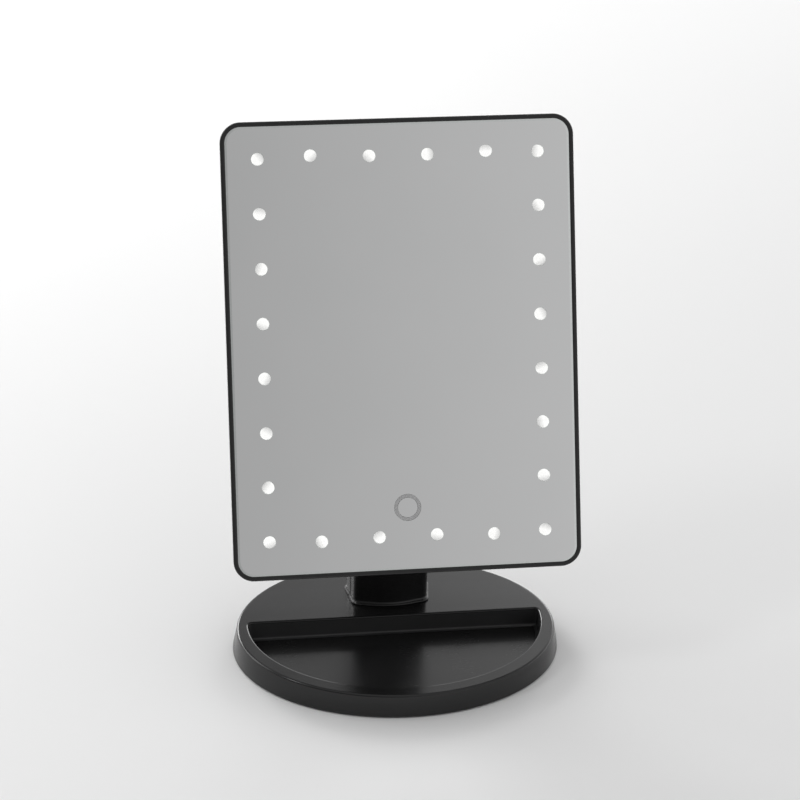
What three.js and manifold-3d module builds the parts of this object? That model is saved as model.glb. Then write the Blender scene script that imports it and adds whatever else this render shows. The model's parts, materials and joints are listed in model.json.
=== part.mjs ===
// A lighted vanity mirror for a table top: an oval base with a make-up tray, a short neck with a
// friction hinge, and a rectangular mirror head with a border of small lamps, a touch switch and
// a battery bay on its back.
//
// Units are millimetres. +Z is up, the mirror faces -Y, and the origin is the centre of the
// underside. The head is drawn in a frame of its own: x to the right, y up along the glass, z out
// of the glass, with its origin at the middle of the head's lower front edge.

import * as THREE from 'three';
import { mergeVertices } from 'three/addons/utils/BufferGeometryUtils.js';
import Module from 'manifold-3d';

const wasm = await Module();
wasm.setup();

// ---------------------------------------------------------------- driving dimensions

const GAP = 0.3; // clearance between pieces that touch

const BASE = {
  halfLength: 81.2, // of the underside
  halfDepth: 63,
  topScale: 0.978, // the wall leans in towards the deck
  bottom: 0.5,
  deck: 12,
  wall: 2.4,
  edgeRound: 1.2,
  coverBottom: 1,
  coverTop: 2.6,
  padTop: 0.7,
};

const TRAY = {
  halfLength: 73.2,
  reach: 58.8, // from the middle of its arc to the front
  arcY: 4.8,
  backY: 8.6,
  cornerRound: 2.5,
  floor: 2.2,
  floorThickness: 1.2,
  wall: 2,
  segments: 30, // in each curve of its outline
};

const BALLAST = { from: 3.2, to: 7.2, frontY: 14.6, margin: 5.5 };

const BASE_SCREWS = [[-62, 20], [62, 20], [-36, 44], [36, 44]];

const NECK = {
  halfWidth: 19.9, // at the back; the sides draw in towards the front
  frontHalfWidth: 18,
  frontY: 17.3,
  rearY: 38.6,
  sideStart: 7, // from the front to where the slanting sides begin
  cornerGuide: 3.4,
  cornerInset: 0.6,
  shoulder: 0.72, // where the bowed front meets the corners, as a part of the half width
  bow: 2.2,
  rearRound: 4,
  wall: 2.4,
  footTop: 17,
  footFlare: 1.2,
  footFlareHeight: 2,
  tongueInset: 3,
  tongueWall: 2,
  tongueBottom: 3,
  cavityTop: 116,
  bolts: [[-9.5, 25.2], [9.5, 31.3]],
};

const HEAD = {
  width: 168.5,
  height: 217.5,
  corner: 10,
  lip: 2.2, // width of the rim seen around the glass
  ledge: 9, // inner edge of the ledge that the glass lies on
  frameDepth: 8,
  depth: 15,
  wall: 2.2,
  draft: 1.5, // how far the side leans in over the frame's depth
  frontRound: 0.9,
  backRound: 4,
  lean: THREE.MathUtils.degToRad(22.84),
  footY: -35,
  footZ: 63.8,
};

const GLASS = { front: -0.4, thickness: 3, lampHole: 3.2 };

const LAMP = {
  radius: 2.9,
  back: -5.1,
  shoulder: -0.35,
  tip: 0.15,
  sideX: 66.4,
  cornerX: 66.5,
  innerX: 13.9,
  outerX: 41.65,
  bottomY: 18.6,
  topY: 199.8,
  bow: 0.9, // the second and fifth lamps of the top and bottom rows sit this much further out
  sideFirstY: 44.85,
  sidePitch: 25.87,
  sideCount: 6,
};

const TOUCH = { y: 32.3, outer: 6.4, inner: 4.8, thickness: 0.5 };

const BOARD = { front: -6.2, thickness: 1.2, halfBand: 5, chipHeight: 0.8 };
const CONTROL = { front: -7.7, thickness: 1.2, left: -36, right: 40, bottom: 5.5, top: 48 };

const BAY = {
  halfWidth: 30.2,
  bottom: 102,
  top: 160,
  wall: 2.8,
  floorFront: -8.6,
  floorThickness: 1.2,
  rim: -24.4,
  coverThickness: 2,
};

const BATTERY = { radius: 7.15, length: 50.5, pitch: 14.8, count: 4, start: 105.8 };

const HINGE = {
  y: 85.5, // in the head's frame
  z: -32.4,
  boltRadius: 3,
  neckRadius: 10.6,
  bossRadius: 8.4, // flat seats for the washers on the neck's sides
  earRadius: 9,
  earInner: 21.3,
  earThickness: 5.5,
  earFoot: 17, // half the height of an ear where it leaves the back
  washerRadius: 8,
  washerThickness: 0.8,
};

const HEAD_SCREWS = [[-75, 58], [75, 58], [-75, 166], [75, 166]];

const SWITCH = { x: -26, y: 24, travel: 3, stemX: 3, stemY: 2.4, padX: 5.4, padY: 4.6, proud: 1.6 };

const USB = { x: 26, width: 7.6, depth: 6, front: -9.2, back: -12, wall: 0.5 };

// ---------------------------------------------------------------- materials

function finish(color, roughness, metalness = 0) {
  return new THREE.MeshStandardMaterial({ color, roughness, metalness, flatShading: true });
}

const blackPlastic = () => finish(0x17181a, 0.3);
const silveredGlass = () => finish(0xa9abad, 0.04, 1);
const opalPlastic = () => finish(0xfbfbf8, 0.35);
const greyPrint = () => finish(0x8f9193, 0.3);
const circuitBoard = () => finish(0xe4e6e3, 0.5);
const zincSteel = () => finish(0xa8aaae, 0.35, 1);
const nickelStrip = () => finish(0xc9c8c2, 0.3, 1);
const blackFoam = () => finish(0x222223, 0.9);
const batteryWrap = () => finish(0x3a4a55, 0.4);
const nylon = () => finish(0xd9d6cc, 0.5);

// ---------------------------------------------------------------- joining and cutting

// A closed three.js geometry as a solid that can be joined and cut.
function solid(geometry) {
  const bare = geometry.clone();
  bare.deleteAttribute('normal');
  bare.deleteAttribute('uv');
  const merged = mergeVertices(bare, 1e-4);
  const positions = merged.getAttribute('position');
  const index = merged.getIndex().array;
  const corner = (i) => new THREE.Vector3().fromBufferAttribute(positions, i);
  const triangles = [];
  let volume = 0;
  for (let i = 0; i < index.length; i += 3) {
    const [a, b, c] = index.slice(i, i + 3);
    if (a !== b && b !== c && c !== a) {
      triangles.push([a, b, c]);
      volume += corner(a).dot(corner(b).cross(corner(c)));
    }
  }
  const triVerts = Uint32Array.from(triangles.flatMap(([a, b, c]) => (volume > 0 ? [a, b, c] : [a, c, b])));
  const vertProperties = Float32Array.from(positions.array);
  return new wasm.Manifold(new wasm.Mesh({ numProp: 3, vertProperties, triVerts }));
}

// One named mesh of the assembly.
function piece(name, shape, material) {
  const mesh = shape.getMesh();
  const geometry = new THREE.BufferGeometry();
  geometry.setAttribute('position', new THREE.BufferAttribute(new Float32Array(mesh.vertProperties), 3));
  geometry.setIndex(new THREE.BufferAttribute(new Uint32Array(mesh.triVerts), 1));
  geometry.computeVertexNormals();
  const result = new THREE.Mesh(geometry, material);
  result.name = name;
  return result;
}

const joined = (first, ...others) => others.reduce((whole, next) => whole.add(next), first);
const cut = (whole, ...tools) => tools.reduce((rest, tool) => rest.subtract(tool), whole);

// ---------------------------------------------------------------- basic shapes

function box(x0, x1, y0, y1, z0, z1) {
  const geometry = new THREE.BoxGeometry(x1 - x0, y1 - y0, z1 - z0);
  geometry.translate((x0 + x1) / 2, (y0 + y1) / 2, (z0 + z1) / 2);
  return solid(geometry);
}

// An upright slab of a shape, from one height to another.
function slab(shape, from, to, curveSegments = 4) {
  const geometry = new THREE.ExtrudeGeometry(shape, { depth: to - from, bevelEnabled: false, curveSegments });
  geometry.translate(0, 0, from);
  return solid(geometry);
}

// A slab whose top and bottom edges are rounded or chamfered inside the shape's outline.
function softSlab(shape, from, to, inset, height, steps, curveSegments = 4) {
  const geometry = new THREE.ExtrudeGeometry(shape, {
    depth: to - from - 2 * height,
    bevelThickness: height,
    bevelSize: inset,
    bevelOffset: -inset,
    bevelSegments: steps,
    curveSegments,
  });
  geometry.translate(0, 0, from + height);
  return solid(geometry);
}

// A shape drawn as seen from the +X side, y across and z up, and drawn out along X.
function sideSlab(shape, fromX, toX, curveSegments = 6) {
  const geometry = new THREE.ExtrudeGeometry(shape, { depth: toX - fromX, bevelEnabled: false, curveSegments });
  geometry.rotateX(Math.PI / 2);
  geometry.rotateZ(Math.PI / 2);
  geometry.translate(fromX, 0, 0);
  return solid(geometry);
}

// A turned piece on a vertical axis, from [radius, height] pairs that start and end on the axis.
function turned(profile, sides, x = 0, y = 0) {
  const points = profile.map(([radius, height]) => new THREE.Vector2(radius, height));
  const geometry = new THREE.LatheGeometry(points, sides);
  geometry.rotateX(Math.PI / 2);
  geometry.translate(x, y, 0);
  return solid(geometry);
}

function rod(radius, from, to, x, y, sides = 16) {
  return turned([[0, from], [radius, from], [radius, to], [0, to]], sides, x, y);
}

function rodAlongX(radius, fromX, toX, y, z, sides = 24) {
  const geometry = new THREE.CylinderGeometry(radius, radius, toX - fromX, sides);
  geometry.rotateZ(Math.PI / 2);
  geometry.translate((fromX + toX) / 2, y, z);
  return solid(geometry);
}

function roundedRectangle(x0, x1, y0, y1, radius) {
  const shape = new THREE.Shape();
  shape.moveTo(x0 + radius, y0);
  shape.lineTo(x1 - radius, y0);
  shape.absarc(x1 - radius, y0 + radius, radius, -Math.PI / 2, 0);
  shape.lineTo(x1, y1 - radius);
  shape.absarc(x1 - radius, y1 - radius, radius, 0, Math.PI / 2);
  shape.lineTo(x0 + radius, y1);
  shape.absarc(x0 + radius, y1 - radius, radius, Math.PI / 2, Math.PI);
  shape.lineTo(x0, y0 + radius);
  shape.absarc(x0 + radius, y0 + radius, radius, Math.PI, 1.5 * Math.PI);
  return shape;
}

// The head's outline, moved in by an inset.
function headOutline(inset) {
  const half = HEAD.width / 2 - inset;
  const radius = Math.max(HEAD.corner - inset, 4);
  return roundedRectangle(-half, half, inset, HEAD.height - inset, radius);
}

// A round head countersunk screw that points up.
function countersunkScrew(x, y, seat, tip) {
  return turned([[0, seat], [2.7, seat], [1.5, seat + 1.2], [1.5, tip - 0.8], [0, tip]], 12, x, y);
}

// The hole that a countersunk screw lies in, with its clearance.
function countersunkHole(x, y, seat, top) {
  const wide = 2.7 + 2 * GAP;
  const narrow = 1.5 + GAP;
  return turned([[0, seat - 1], [wide, seat - 1], [wide, seat], [narrow, seat + 1.4], [narrow, top], [0, top]], 12, x, y);
}

// ---------------------------------------------------------------- base

// An oval body from [scale, height] pairs, each a fraction of the underside's outline.
function ovalBody(halfLength, halfDepth, levels, sides = 72) {
  const points = levels.map(([scale, height]) => new THREE.Vector2(scale * halfLength, height));
  const geometry = new THREE.LatheGeometry(points, sides);
  geometry.rotateX(Math.PI / 2);
  geometry.scale(1, halfDepth / halfLength, 1);
  return solid(geometry);
}

function ovalSlab(margin, from, to) {
  const halfLength = BASE.halfLength - margin;
  const halfDepth = BASE.halfDepth - margin;
  return ovalBody(halfLength, halfDepth, [[0, from], [1, from], [1, to], [0, to]]);
}

// The tray's D outline: a straight back and a long front arc, moved out by a margin.
function trayOutline(margin) {
  const a = TRAY.halfLength + margin;
  const b = TRAY.reach + margin;
  const back = TRAY.backY + margin;
  const start = Math.asin((back - TRAY.cornerRound - TRAY.arcY) / b);
  const shape = new THREE.Shape();
  shape.absellipse(0, TRAY.arcY, a, b, Math.PI - start, 2 * Math.PI + start);
  const endX = a * Math.cos(start);
  shape.quadraticCurveTo(endX, back, endX - TRAY.cornerRound, back);
  shape.lineTo(TRAY.cornerRound - endX, back);
  shape.quadraticCurveTo(-endX, back, -endX, back - TRAY.cornerRound);
  return shape;
}

function baseShell() {
  const edge = BASE.edgeRound;
  const topScale = BASE.topScale;
  const flat = topScale - edge / BASE.halfLength;
  const outer = ovalBody(BASE.halfLength, BASE.halfDepth, [
    [0, BASE.bottom],
    [1, BASE.bottom],
    [topScale, BASE.deck - edge],
    [topScale - 0.3 * edge / BASE.halfLength, BASE.deck - 0.3 * edge],
    [flat, BASE.deck],
    [0, BASE.deck],
  ]);
  const innerTop = BASE.deck - BASE.wall;
  const narrow = BASE.wall / BASE.halfLength;
  const hollow = ovalBody(BASE.halfLength - BASE.wall, BASE.halfDepth - BASE.wall, [
    [0, BASE.bottom - 1],
    [1, BASE.bottom - 1],
    [1, BASE.coverTop + GAP],
    [topScale + narrow * 0.1, innerTop],
    [0, innerTop],
  ]);
  const trayBottom = TRAY.floor - TRAY.floorThickness;
  const trayBlock = slab(trayOutline(TRAY.wall), trayBottom, BASE.deck + 1, TRAY.segments);
  const trayHollow = slab(trayOutline(0), TRAY.floor, BASE.deck + 1, TRAY.segments);
  const bosses = BASE_SCREWS.map(([x, y]) => rod(3.4, BASE.coverTop + GAP, innerTop + 1, x, y));
  const screwHoles = BASE_SCREWS.map(([x, y]) => rod(1.5 + GAP, BASE.bottom, 9, x, y, 12));
  const neckSlot = slab(neckOutline(NECK.tongueInset - GAP), innerTop - 1, BASE.deck + 1);
  const shell = outer.subtract(hollow.subtract(trayBlock));
  return cut(joined(shell, ...bosses), trayHollow, neckSlot, ...screwHoles);
}

// The cover closes the space around the tray, whose floor lies level with it.
function baseCover() {
  const plate = ovalSlab(BASE.wall + GAP, BASE.coverBottom, BASE.coverTop);
  const trayOpening = slab(trayOutline(TRAY.wall + GAP), 0, BASE.coverTop + 1, TRAY.segments);
  const holes = [...BASE_SCREWS, ...NECK.bolts].map(([x, y]) => countersunkHole(x, y, BASE.coverBottom, 4));
  return cut(plate, trayOpening, ...holes);
}

// The steel weight lies behind the tray, around the foot of the neck.
function ballastPlate() {
  const oval = ovalSlab(BALLAST.margin, BALLAST.from, BALLAST.to);
  const rear = box(-100, 100, BALLAST.frontY, 100, 0, 20);
  const neckSlot = slab(neckOutline(NECK.tongueInset - 1), 0, 20);
  const reliefs = BASE_SCREWS.map(([x, y]) => rod(4.2, 0, 20, x, y));
  return cut(oval.intersect(rear), neckSlot, ...reliefs);
}

function baseGroup() {
  const group = new THREE.Group();
  group.add(piece('base_shell', baseShell(), blackPlastic()));
  group.add(piece('base_cover', baseCover(), blackPlastic()));
  group.add(piece('ballast_plate', ballastPlate(), zincSteel()));
  group.add(piece('base_pad', ovalSlab(BASE.wall + 1, 0, BASE.padTop), blackFoam()));
  BASE_SCREWS.forEach(([x, y], i) => {
    group.add(piece(`base_screw_${i + 1}`, countersunkScrew(x, y, BASE.coverBottom + 0.1, 8.4), zincSteel()));
  });
  return group;
}

// ---------------------------------------------------------------- neck and hinge

// Where the hinge axis lies in the assembly's own frame.
const axisY = HEAD.footY + HINGE.y * Math.sin(HEAD.lean) - HINGE.z * Math.cos(HEAD.lean);
const axisZ = HEAD.footZ + HINGE.y * Math.cos(HEAD.lean) + HINGE.z * Math.sin(HEAD.lean);

// The neck seen from above: a bowed front, full corners, sides that spread towards a flat back.
function neckOutline(inset) {
  const x = NECK.halfWidth - inset;
  const frontX = NECK.frontHalfWidth - inset;
  const front = NECK.frontY + inset;
  const rear = NECK.rearY - inset;
  const round = Math.max(NECK.rearRound - inset, 1);
  const shoulderX = NECK.shoulder * frontX;
  const guideX = frontX - NECK.cornerInset;
  const shape = new THREE.Shape();
  shape.moveTo(-frontX, front + NECK.sideStart);
  shape.quadraticCurveTo(-guideX, front + NECK.cornerGuide, -shoulderX, front + NECK.bow);
  shape.quadraticCurveTo(0, front - NECK.bow, shoulderX, front + NECK.bow);
  shape.quadraticCurveTo(guideX, front + NECK.cornerGuide, frontX, front + NECK.sideStart);
  shape.lineTo(x, rear - round);
  shape.quadraticCurveTo(x, rear, x - round, rear);
  shape.lineTo(round - x, rear);
  shape.quadraticCurveTo(-x, rear, -x, rear - round);
  shape.closePath();
  return shape;
}

// The whole neck before it is split: flared foot, hollow stem, rounded hinge end and tongue.
function neckBody() {
  const foot = BASE.deck + GAP;
  const flare = slab(neckOutline(-NECK.footFlare), foot, foot + 0.8);
  const flareSlope = slab(neckOutline(-NECK.footFlare / 3), foot, foot + NECK.footFlareHeight);
  const profile = new THREE.Shape();
  profile.moveTo(NECK.frontY - 5, foot);
  profile.lineTo(NECK.rearY + 5, foot);
  profile.lineTo(axisY + HINGE.neckRadius, axisZ);
  profile.absarc(axisY, axisZ, HINGE.neckRadius, 0, Math.PI);
  profile.lineTo(NECK.frontY - 5, foot);
  const stem = slab(neckOutline(0), foot, axisZ + 20).intersect(sideSlab(profile, -50, 50));
  const tongue = slab(neckOutline(NECK.tongueInset), NECK.tongueBottom, foot + 1);
  const hollowStem = slab(neckOutline(NECK.wall), NECK.footTop, NECK.cavityTop);
  const hollowFoot = slab(neckOutline(NECK.tongueInset + NECK.tongueWall), 0, NECK.footTop + 1);
  const bosses = NECK.bolts.map(([x, y]) => rod(2.7, NECK.tongueBottom, NECK.footTop + 4, x, y));
  const hingeBoss = rodAlongX(HINGE.bossRadius, -NECK.halfWidth, NECK.halfWidth, axisY, axisZ);
  const boltHoles = NECK.bolts.map(([x, y]) => rod(1.5 + GAP, 0, NECK.footTop, x, y, 12));
  const axleHole = rodAlongX(HINGE.boltRadius + GAP, -50, 50, axisY, axisZ);
  const hollow = cut(joined(stem, flare, flareSlope, tongue, hingeBoss), hollowStem, hollowFoot);
  return cut(joined(hollow, ...bosses), ...boltHoles, axleHole);
}

function neckGroup() {
  const group = new THREE.Group();
  const body = neckBody();
  const front = box(-50, 50, -50, axisY - GAP / 2, -10, 200);
  const rear = box(-50, 50, axisY + GAP / 2, 100, -10, 200);
  group.add(piece('neck_front_shell', body.intersect(front), blackPlastic()));
  group.add(piece('neck_rear_shell', body.intersect(rear), blackPlastic()));
  ['neck_screw_front', 'neck_screw_rear'].forEach((name, i) => {
    const [x, y] = NECK.bolts[i];
    group.add(piece(name, countersunkScrew(x, y, BASE.coverBottom + 0.1, 15), zincSteel()));
  });
  return group;
}

// The bolt, nut and washers that clamp the ears of the head against the neck.
function hingeGroup() {
  const group = new THREE.Group();
  const earOuter = HINGE.earInner + HINGE.earThickness;
  const bolt = rodAlongX(HINGE.boltRadius, -earOuter - GAP - 2.4, earOuter + 4, axisY, axisZ);
  const boltHead = rodAlongX(5.5, -earOuter - GAP - 2.6, -earOuter - GAP, axisY, axisZ, 6);
  const nut = rodAlongX(5.5, earOuter + GAP, earOuter + GAP + 2.6, axisY, axisZ, 6);
  const nutHole = rodAlongX(HINGE.boltRadius + GAP, 0, 50, axisY, axisZ);
  group.add(piece('hinge_bolt', joined(bolt, boltHead), zincSteel()));
  group.add(piece('hinge_nut', cut(nut, nutHole), zincSteel()));
  const washerInner = NECK.halfWidth + GAP;
  for (const [name, side] of [['friction_washer_left', -1], ['friction_washer_right', 1]]) {
    const ends = [side * washerInner, side * (washerInner + HINGE.washerThickness)].sort((a, b) => a - b);
    const disc = rodAlongX(HINGE.washerRadius, ...ends, axisY, axisZ);
    const hole = rodAlongX(HINGE.boltRadius + GAP, -50, 50, axisY, axisZ);
    group.add(piece(name, cut(disc, hole), nylon()));
  }
  return group;
}

// ---------------------------------------------------------------- head: front

// The outside of the head: rounded front edge, sides that lean in, rounded back edge.
function headBody() {
  const frontEdge = softSlab(headOutline(0), -60, 0, HEAD.frontRound, HEAD.frontRound, 2);
  const lean = softSlab(headOutline(0), -3 * HEAD.frameDepth, 3 * HEAD.frameDepth,
    3 * HEAD.draft, 3 * HEAD.frameDepth - 0.01, 1);
  const backEdge = softSlab(headOutline(0), -HEAD.depth, 60, HEAD.backRound, HEAD.backRound, 3);
  return frontEdge.intersect(lean).intersect(backEdge);
}

function layer(from, to) {
  return box(-200, 200, -50, 400, from, to);
}

function headFrame() {
  const glassSeat = GLASS.front - GLASS.thickness - GAP;
  const ledgeBack = glassSeat - 1.5;
  const rim = headBody().intersect(layer(-HEAD.frameDepth, 1));
  const glassPocket = slab(headOutline(HEAD.lip), glassSeat, 1);
  const window = slab(headOutline(HEAD.ledge), -20, 1);
  const backPocket = slab(headOutline(HEAD.wall + HEAD.draft), -20, ledgeBack);
  const bosses = HEAD_SCREWS.map(([x, y]) => rod(2.9, -HEAD.frameDepth, glassSeat, x, y));
  const holes = HEAD_SCREWS.map(([x, y]) => rod(1.5 + GAP, -20, ledgeBack + 0.4, x, y, 12));
  return cut(joined(cut(rim, glassPocket, window, backPocket), ...bosses), ...holes);
}

// The middles of the lamps: six up each side, and six across the top and the bottom.
function lampCentres() {
  const centres = [];
  const rows = [[LAMP.bottomY, -1], [LAMP.topY, 1]];
  for (const [y, outward] of rows) {
    centres.push([-LAMP.cornerX, y], [LAMP.cornerX, y]);
    centres.push([-LAMP.outerX, y + outward * LAMP.bow], [LAMP.outerX, y + outward * LAMP.bow]);
    centres.push([-LAMP.innerX, y], [LAMP.innerX, y]);
  }
  for (let i = 0; i < LAMP.sideCount; i += 1) {
    const y = LAMP.sideFirstY + i * LAMP.sidePitch;
    centres.push([-LAMP.sideX, y], [LAMP.sideX, y]);
  }
  return centres;
}

function mirrorGlass() {
  const back = GLASS.front - GLASS.thickness;
  const plate = slab(headOutline(HEAD.lip + GAP), back, GLASS.front);
  const holes = lampCentres().map(([x, y]) => rod(GLASS.lampHole, back - 1, 1, x, y, 12));
  const grooveBottom = GLASS.front - TOUCH.thickness - GAP;
  const groove = cut(
    rod(TOUCH.outer + GAP, grooveBottom, 1, 0, TOUCH.y, 24),
    rod(TOUCH.inner - GAP, grooveBottom - 1, 2, 0, TOUCH.y, 24),
  );
  return cut(plate, groove, ...holes);
}

function touchRing() {
  const ring = rod(TOUCH.outer, GLASS.front - TOUCH.thickness, GLASS.front, 0, TOUCH.y, 24);
  return cut(ring, rod(TOUCH.inner, -5, 5, 0, TOUCH.y, 24));
}

// One opal light cap: a short stem in the glass with a low dome on its front.
function lampLens([x, y]) {
  const domeEdge = LAMP.shoulder + 0.7 * (LAMP.tip - LAMP.shoulder);
  return turned([
    [0, LAMP.back],
    [LAMP.radius, LAMP.back],
    [LAMP.radius, LAMP.shoulder],
    [0.62 * LAMP.radius, domeEdge],
    [0, LAMP.tip],
  ], 12, x, y);
}

// The board behind the lamps is a closed band with one light chip under each lens.
function lampBoard() {
  const x = LAMP.sideX;
  const outer = roundedRectangle(-x - BOARD.halfBand, x + BOARD.halfBand,
    LAMP.bottomY - BOARD.halfBand, LAMP.topY + BOARD.halfBand, 4);
  const inner = roundedRectangle(-x + BOARD.halfBand, x - BOARD.halfBand,
    LAMP.bottomY + BOARD.halfBand, LAMP.topY - BOARD.halfBand, 2);
  const back = BOARD.front - BOARD.thickness;
  const band = cut(slab(outer, back, BOARD.front, 2), slab(inner, back - 1, BOARD.front + 1, 2));
  const chips = lampCentres().map(([cx, cy]) => (
    box(cx - 1.4, cx + 1.4, cy - 1.8, cy + 1.8, BOARD.front - 0.3, BOARD.front + BOARD.chipHeight)));
  return joined(band, ...chips);
}

// The control board carries the touch pad behind the ring and the body of the power switch.
function controlBoard() {
  const back = CONTROL.front - CONTROL.thickness;
  const board = box(CONTROL.left, CONTROL.right, CONTROL.bottom, CONTROL.top, back, CONTROL.front);
  const touchPad = rod(TOUCH.inner, CONTROL.front - 0.3, GLASS.front - GLASS.thickness - GAP, 0, TOUCH.y);
  const switchBody = box(SWITCH.x - 4, SWITCH.x + SWITCH.travel + 4, SWITCH.y - 2.6, SWITCH.y + 2.6,
    -HEAD.depth + HEAD.wall + GAP, back + 0.3);
  const stemSlot = box(SWITCH.x - SWITCH.stemX / 2 - GAP, SWITCH.x + SWITCH.travel + SWITCH.stemX / 2 + GAP,
    SWITCH.y - SWITCH.stemY / 2 - GAP, SWITCH.y + SWITCH.stemY / 2 + GAP, -20, back - 1);
  return cut(joined(board, touchPad, switchBody), stemSlot);
}

// ---------------------------------------------------------------- head: back

function bayOutline(margin) {
  const half = BAY.halfWidth + margin;
  return roundedRectangle(-half, half, BAY.bottom - margin, BAY.top + margin, 3);
}

// One hinge ear, seen from the side: wide on the back of the head and round about the axis.
function hingeEar(side) {
  const root = -HEAD.depth + HEAD.wall / 2;
  const shape = new THREE.Shape();
  shape.moveTo(HINGE.y - HINGE.earFoot, root);
  shape.lineTo(HINGE.y - HINGE.earFoot, root - 3);
  shape.lineTo(HINGE.y - HINGE.earRadius, HINGE.z + 2);
  shape.absarc(HINGE.y, HINGE.z, HINGE.earRadius, Math.PI, 2 * Math.PI);
  shape.lineTo(HINGE.y + HINGE.earFoot - 4, root - 3);
  shape.lineTo(HINGE.y + HINGE.earFoot - 4, root);
  const ends = [side * HINGE.earInner, side * (HINGE.earInner + HINGE.earThickness)].sort((a, b) => a - b);
  return sideSlab(shape, ...ends);
}

function backShell() {
  const parting = -HEAD.frameDepth - GAP;
  const floorBack = BAY.floorFront - BAY.floorThickness;
  const outer = headBody().intersect(layer(-HEAD.depth - 1, parting));
  const hollow = slab(headOutline(HEAD.wall + HEAD.backRound), -HEAD.depth + HEAD.wall, 1);
  const rimStep = slab(headOutline(HEAD.wall + HEAD.draft + 0.2), parting - 2, 1);
  const bayBlock = slab(bayOutline(BAY.wall), BAY.rim, BAY.floorFront);
  const bayHollow = slab(bayOutline(0), BAY.rim - 1, floorBack);
  const bosses = HEAD_SCREWS.map(([x, y]) => rod(2.9, -HEAD.depth + 1, parting, x, y));
  const screwHoles = HEAD_SCREWS.map(([x, y]) => joined(
    rod(1.5 + GAP, -30, 0, x, y, 12),
    rod(2.7 + GAP, -30, -HEAD.depth + 2, x, y, 12),
  ));
  const axleHole = rodAlongX(HINGE.boltRadius + GAP, -50, 50, HINGE.y, HINGE.z);
  const slotX = SWITCH.stemX / 2 + GAP;
  const slotY = SWITCH.stemY / 2 + GAP;
  const switchSlot = box(SWITCH.x - slotX, SWITCH.x + SWITCH.travel + slotX,
    SWITCH.y - slotY, SWITCH.y + slotY, -30, -HEAD.depth + HEAD.wall + 1);
  const usbHole = box(USB.x - USB.width / 2 - GAP, USB.x + USB.width / 2 + GAP, -5, 9,
    USB.back - GAP, USB.front + GAP);
  const shell = cut(outer, hollow, rimStep);
  const whole = cut(joined(shell, bayBlock, ...bosses, hingeEar(-1), hingeEar(1)), bayHollow);
  return cut(whole, ...screwHoles, axleHole, switchSlot, usbHole);
}

// The lid of the battery bay: a flat plate with a finger tab at its top.
function batteryCover() {
  const front = BAY.rim - GAP;
  const back = front - BAY.coverThickness;
  const plate = softSlab(bayOutline(BAY.wall), back, front, 0.6, 0.6, 1);
  const tab = box(-8, 8, BAY.top + BAY.wall - 1, BAY.top + BAY.wall + 2.4, back + 0.4, front - 0.2);
  const tongue = box(-6, 6, BAY.top - 2.6, BAY.top - GAP, front - 0.3, front + 2);
  return joined(plate, tab, tongue);
}

// Each battery stands on its flat end, with its button up, next to one that is turned over.
function battery(index) {
  const { radius, length, pitch, count, start } = BATTERY;
  const x = (index - (count - 1) / 2) * pitch;
  const z = BAY.floorFront - BAY.floorThickness - GAP - radius;
  const profile = [[0, 0], [radius, 0], [radius, length - 1.2], [2.7, length - 1.2], [2.7, length], [0, length]];
  const geometry = new THREE.LatheGeometry(profile.map(([r, h]) => new THREE.Vector2(r, h)), 16);
  if (index % 2 === 1) {
    geometry.rotateX(Math.PI);
    geometry.translate(0, length, 0);
  }
  geometry.translate(x, start, z);
  return solid(geometry);
}

// A nickel strip at one end of the bay with a raised contact for each battery.
function batteryContact(plateY, towardsBattery) {
  const z = BAY.floorFront - BAY.floorThickness - GAP - BATTERY.radius;
  const half = (BATTERY.count * BATTERY.pitch) / 2 - 2;
  const [low, high] = [plateY, plateY + 0.6 * towardsBattery].sort((a, b) => a - b);
  const strip = box(-half, half, low, high, z - 5, z + 5);
  const contacts = [];
  for (let i = 0; i < BATTERY.count; i += 1) {
    const geometry = new THREE.CylinderGeometry(2, 3.6, 2.8, 12);
    if (towardsBattery < 0) {
      geometry.rotateX(Math.PI);
    }
    geometry.translate((i - (BATTERY.count - 1) / 2) * BATTERY.pitch, plateY + towardsBattery * 1.6, z);
    contacts.push(solid(geometry));
  }
  return joined(strip, ...contacts);
}

// A round head screw that points out of the glass side, driven from the back.
function headScrew([x, y]) {
  const seat = -HEAD.depth + 2 - GAP;
  return turned([[0, seat - 1.4], [2.1, seat - 1.4], [2.7, seat - 0.9], [2.7, seat], [1.5, seat],
    [1.5, -6.4], [0, -5.8]], 12, x, y);
}

function usbSocket() {
  const half = USB.width / 2;
  const body = box(USB.x - half, USB.x + half, 2.4, 2.4 + USB.depth, USB.back, USB.front);
  const mouth = box(USB.x - half + USB.wall, USB.x + half - USB.wall, 0, 2.4 + USB.depth - 1,
    USB.back + USB.wall, USB.front - USB.wall);
  return cut(body, mouth);
}

function powerSwitch() {
  const { x, y, stemX, stemY, padX, padY, proud } = SWITCH;
  const outside = -HEAD.depth - GAP;
  const stem = box(x - stemX / 2, x + stemX / 2, y - stemY / 2, y + stemY / 2,
    outside - 0.5, -HEAD.depth + HEAD.wall + 2);
  const pad = box(x - padX / 2, x + padX / 2, y - padY / 2, y + padY / 2, outside - proud, outside);
  return joined(stem, pad);
}

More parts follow.
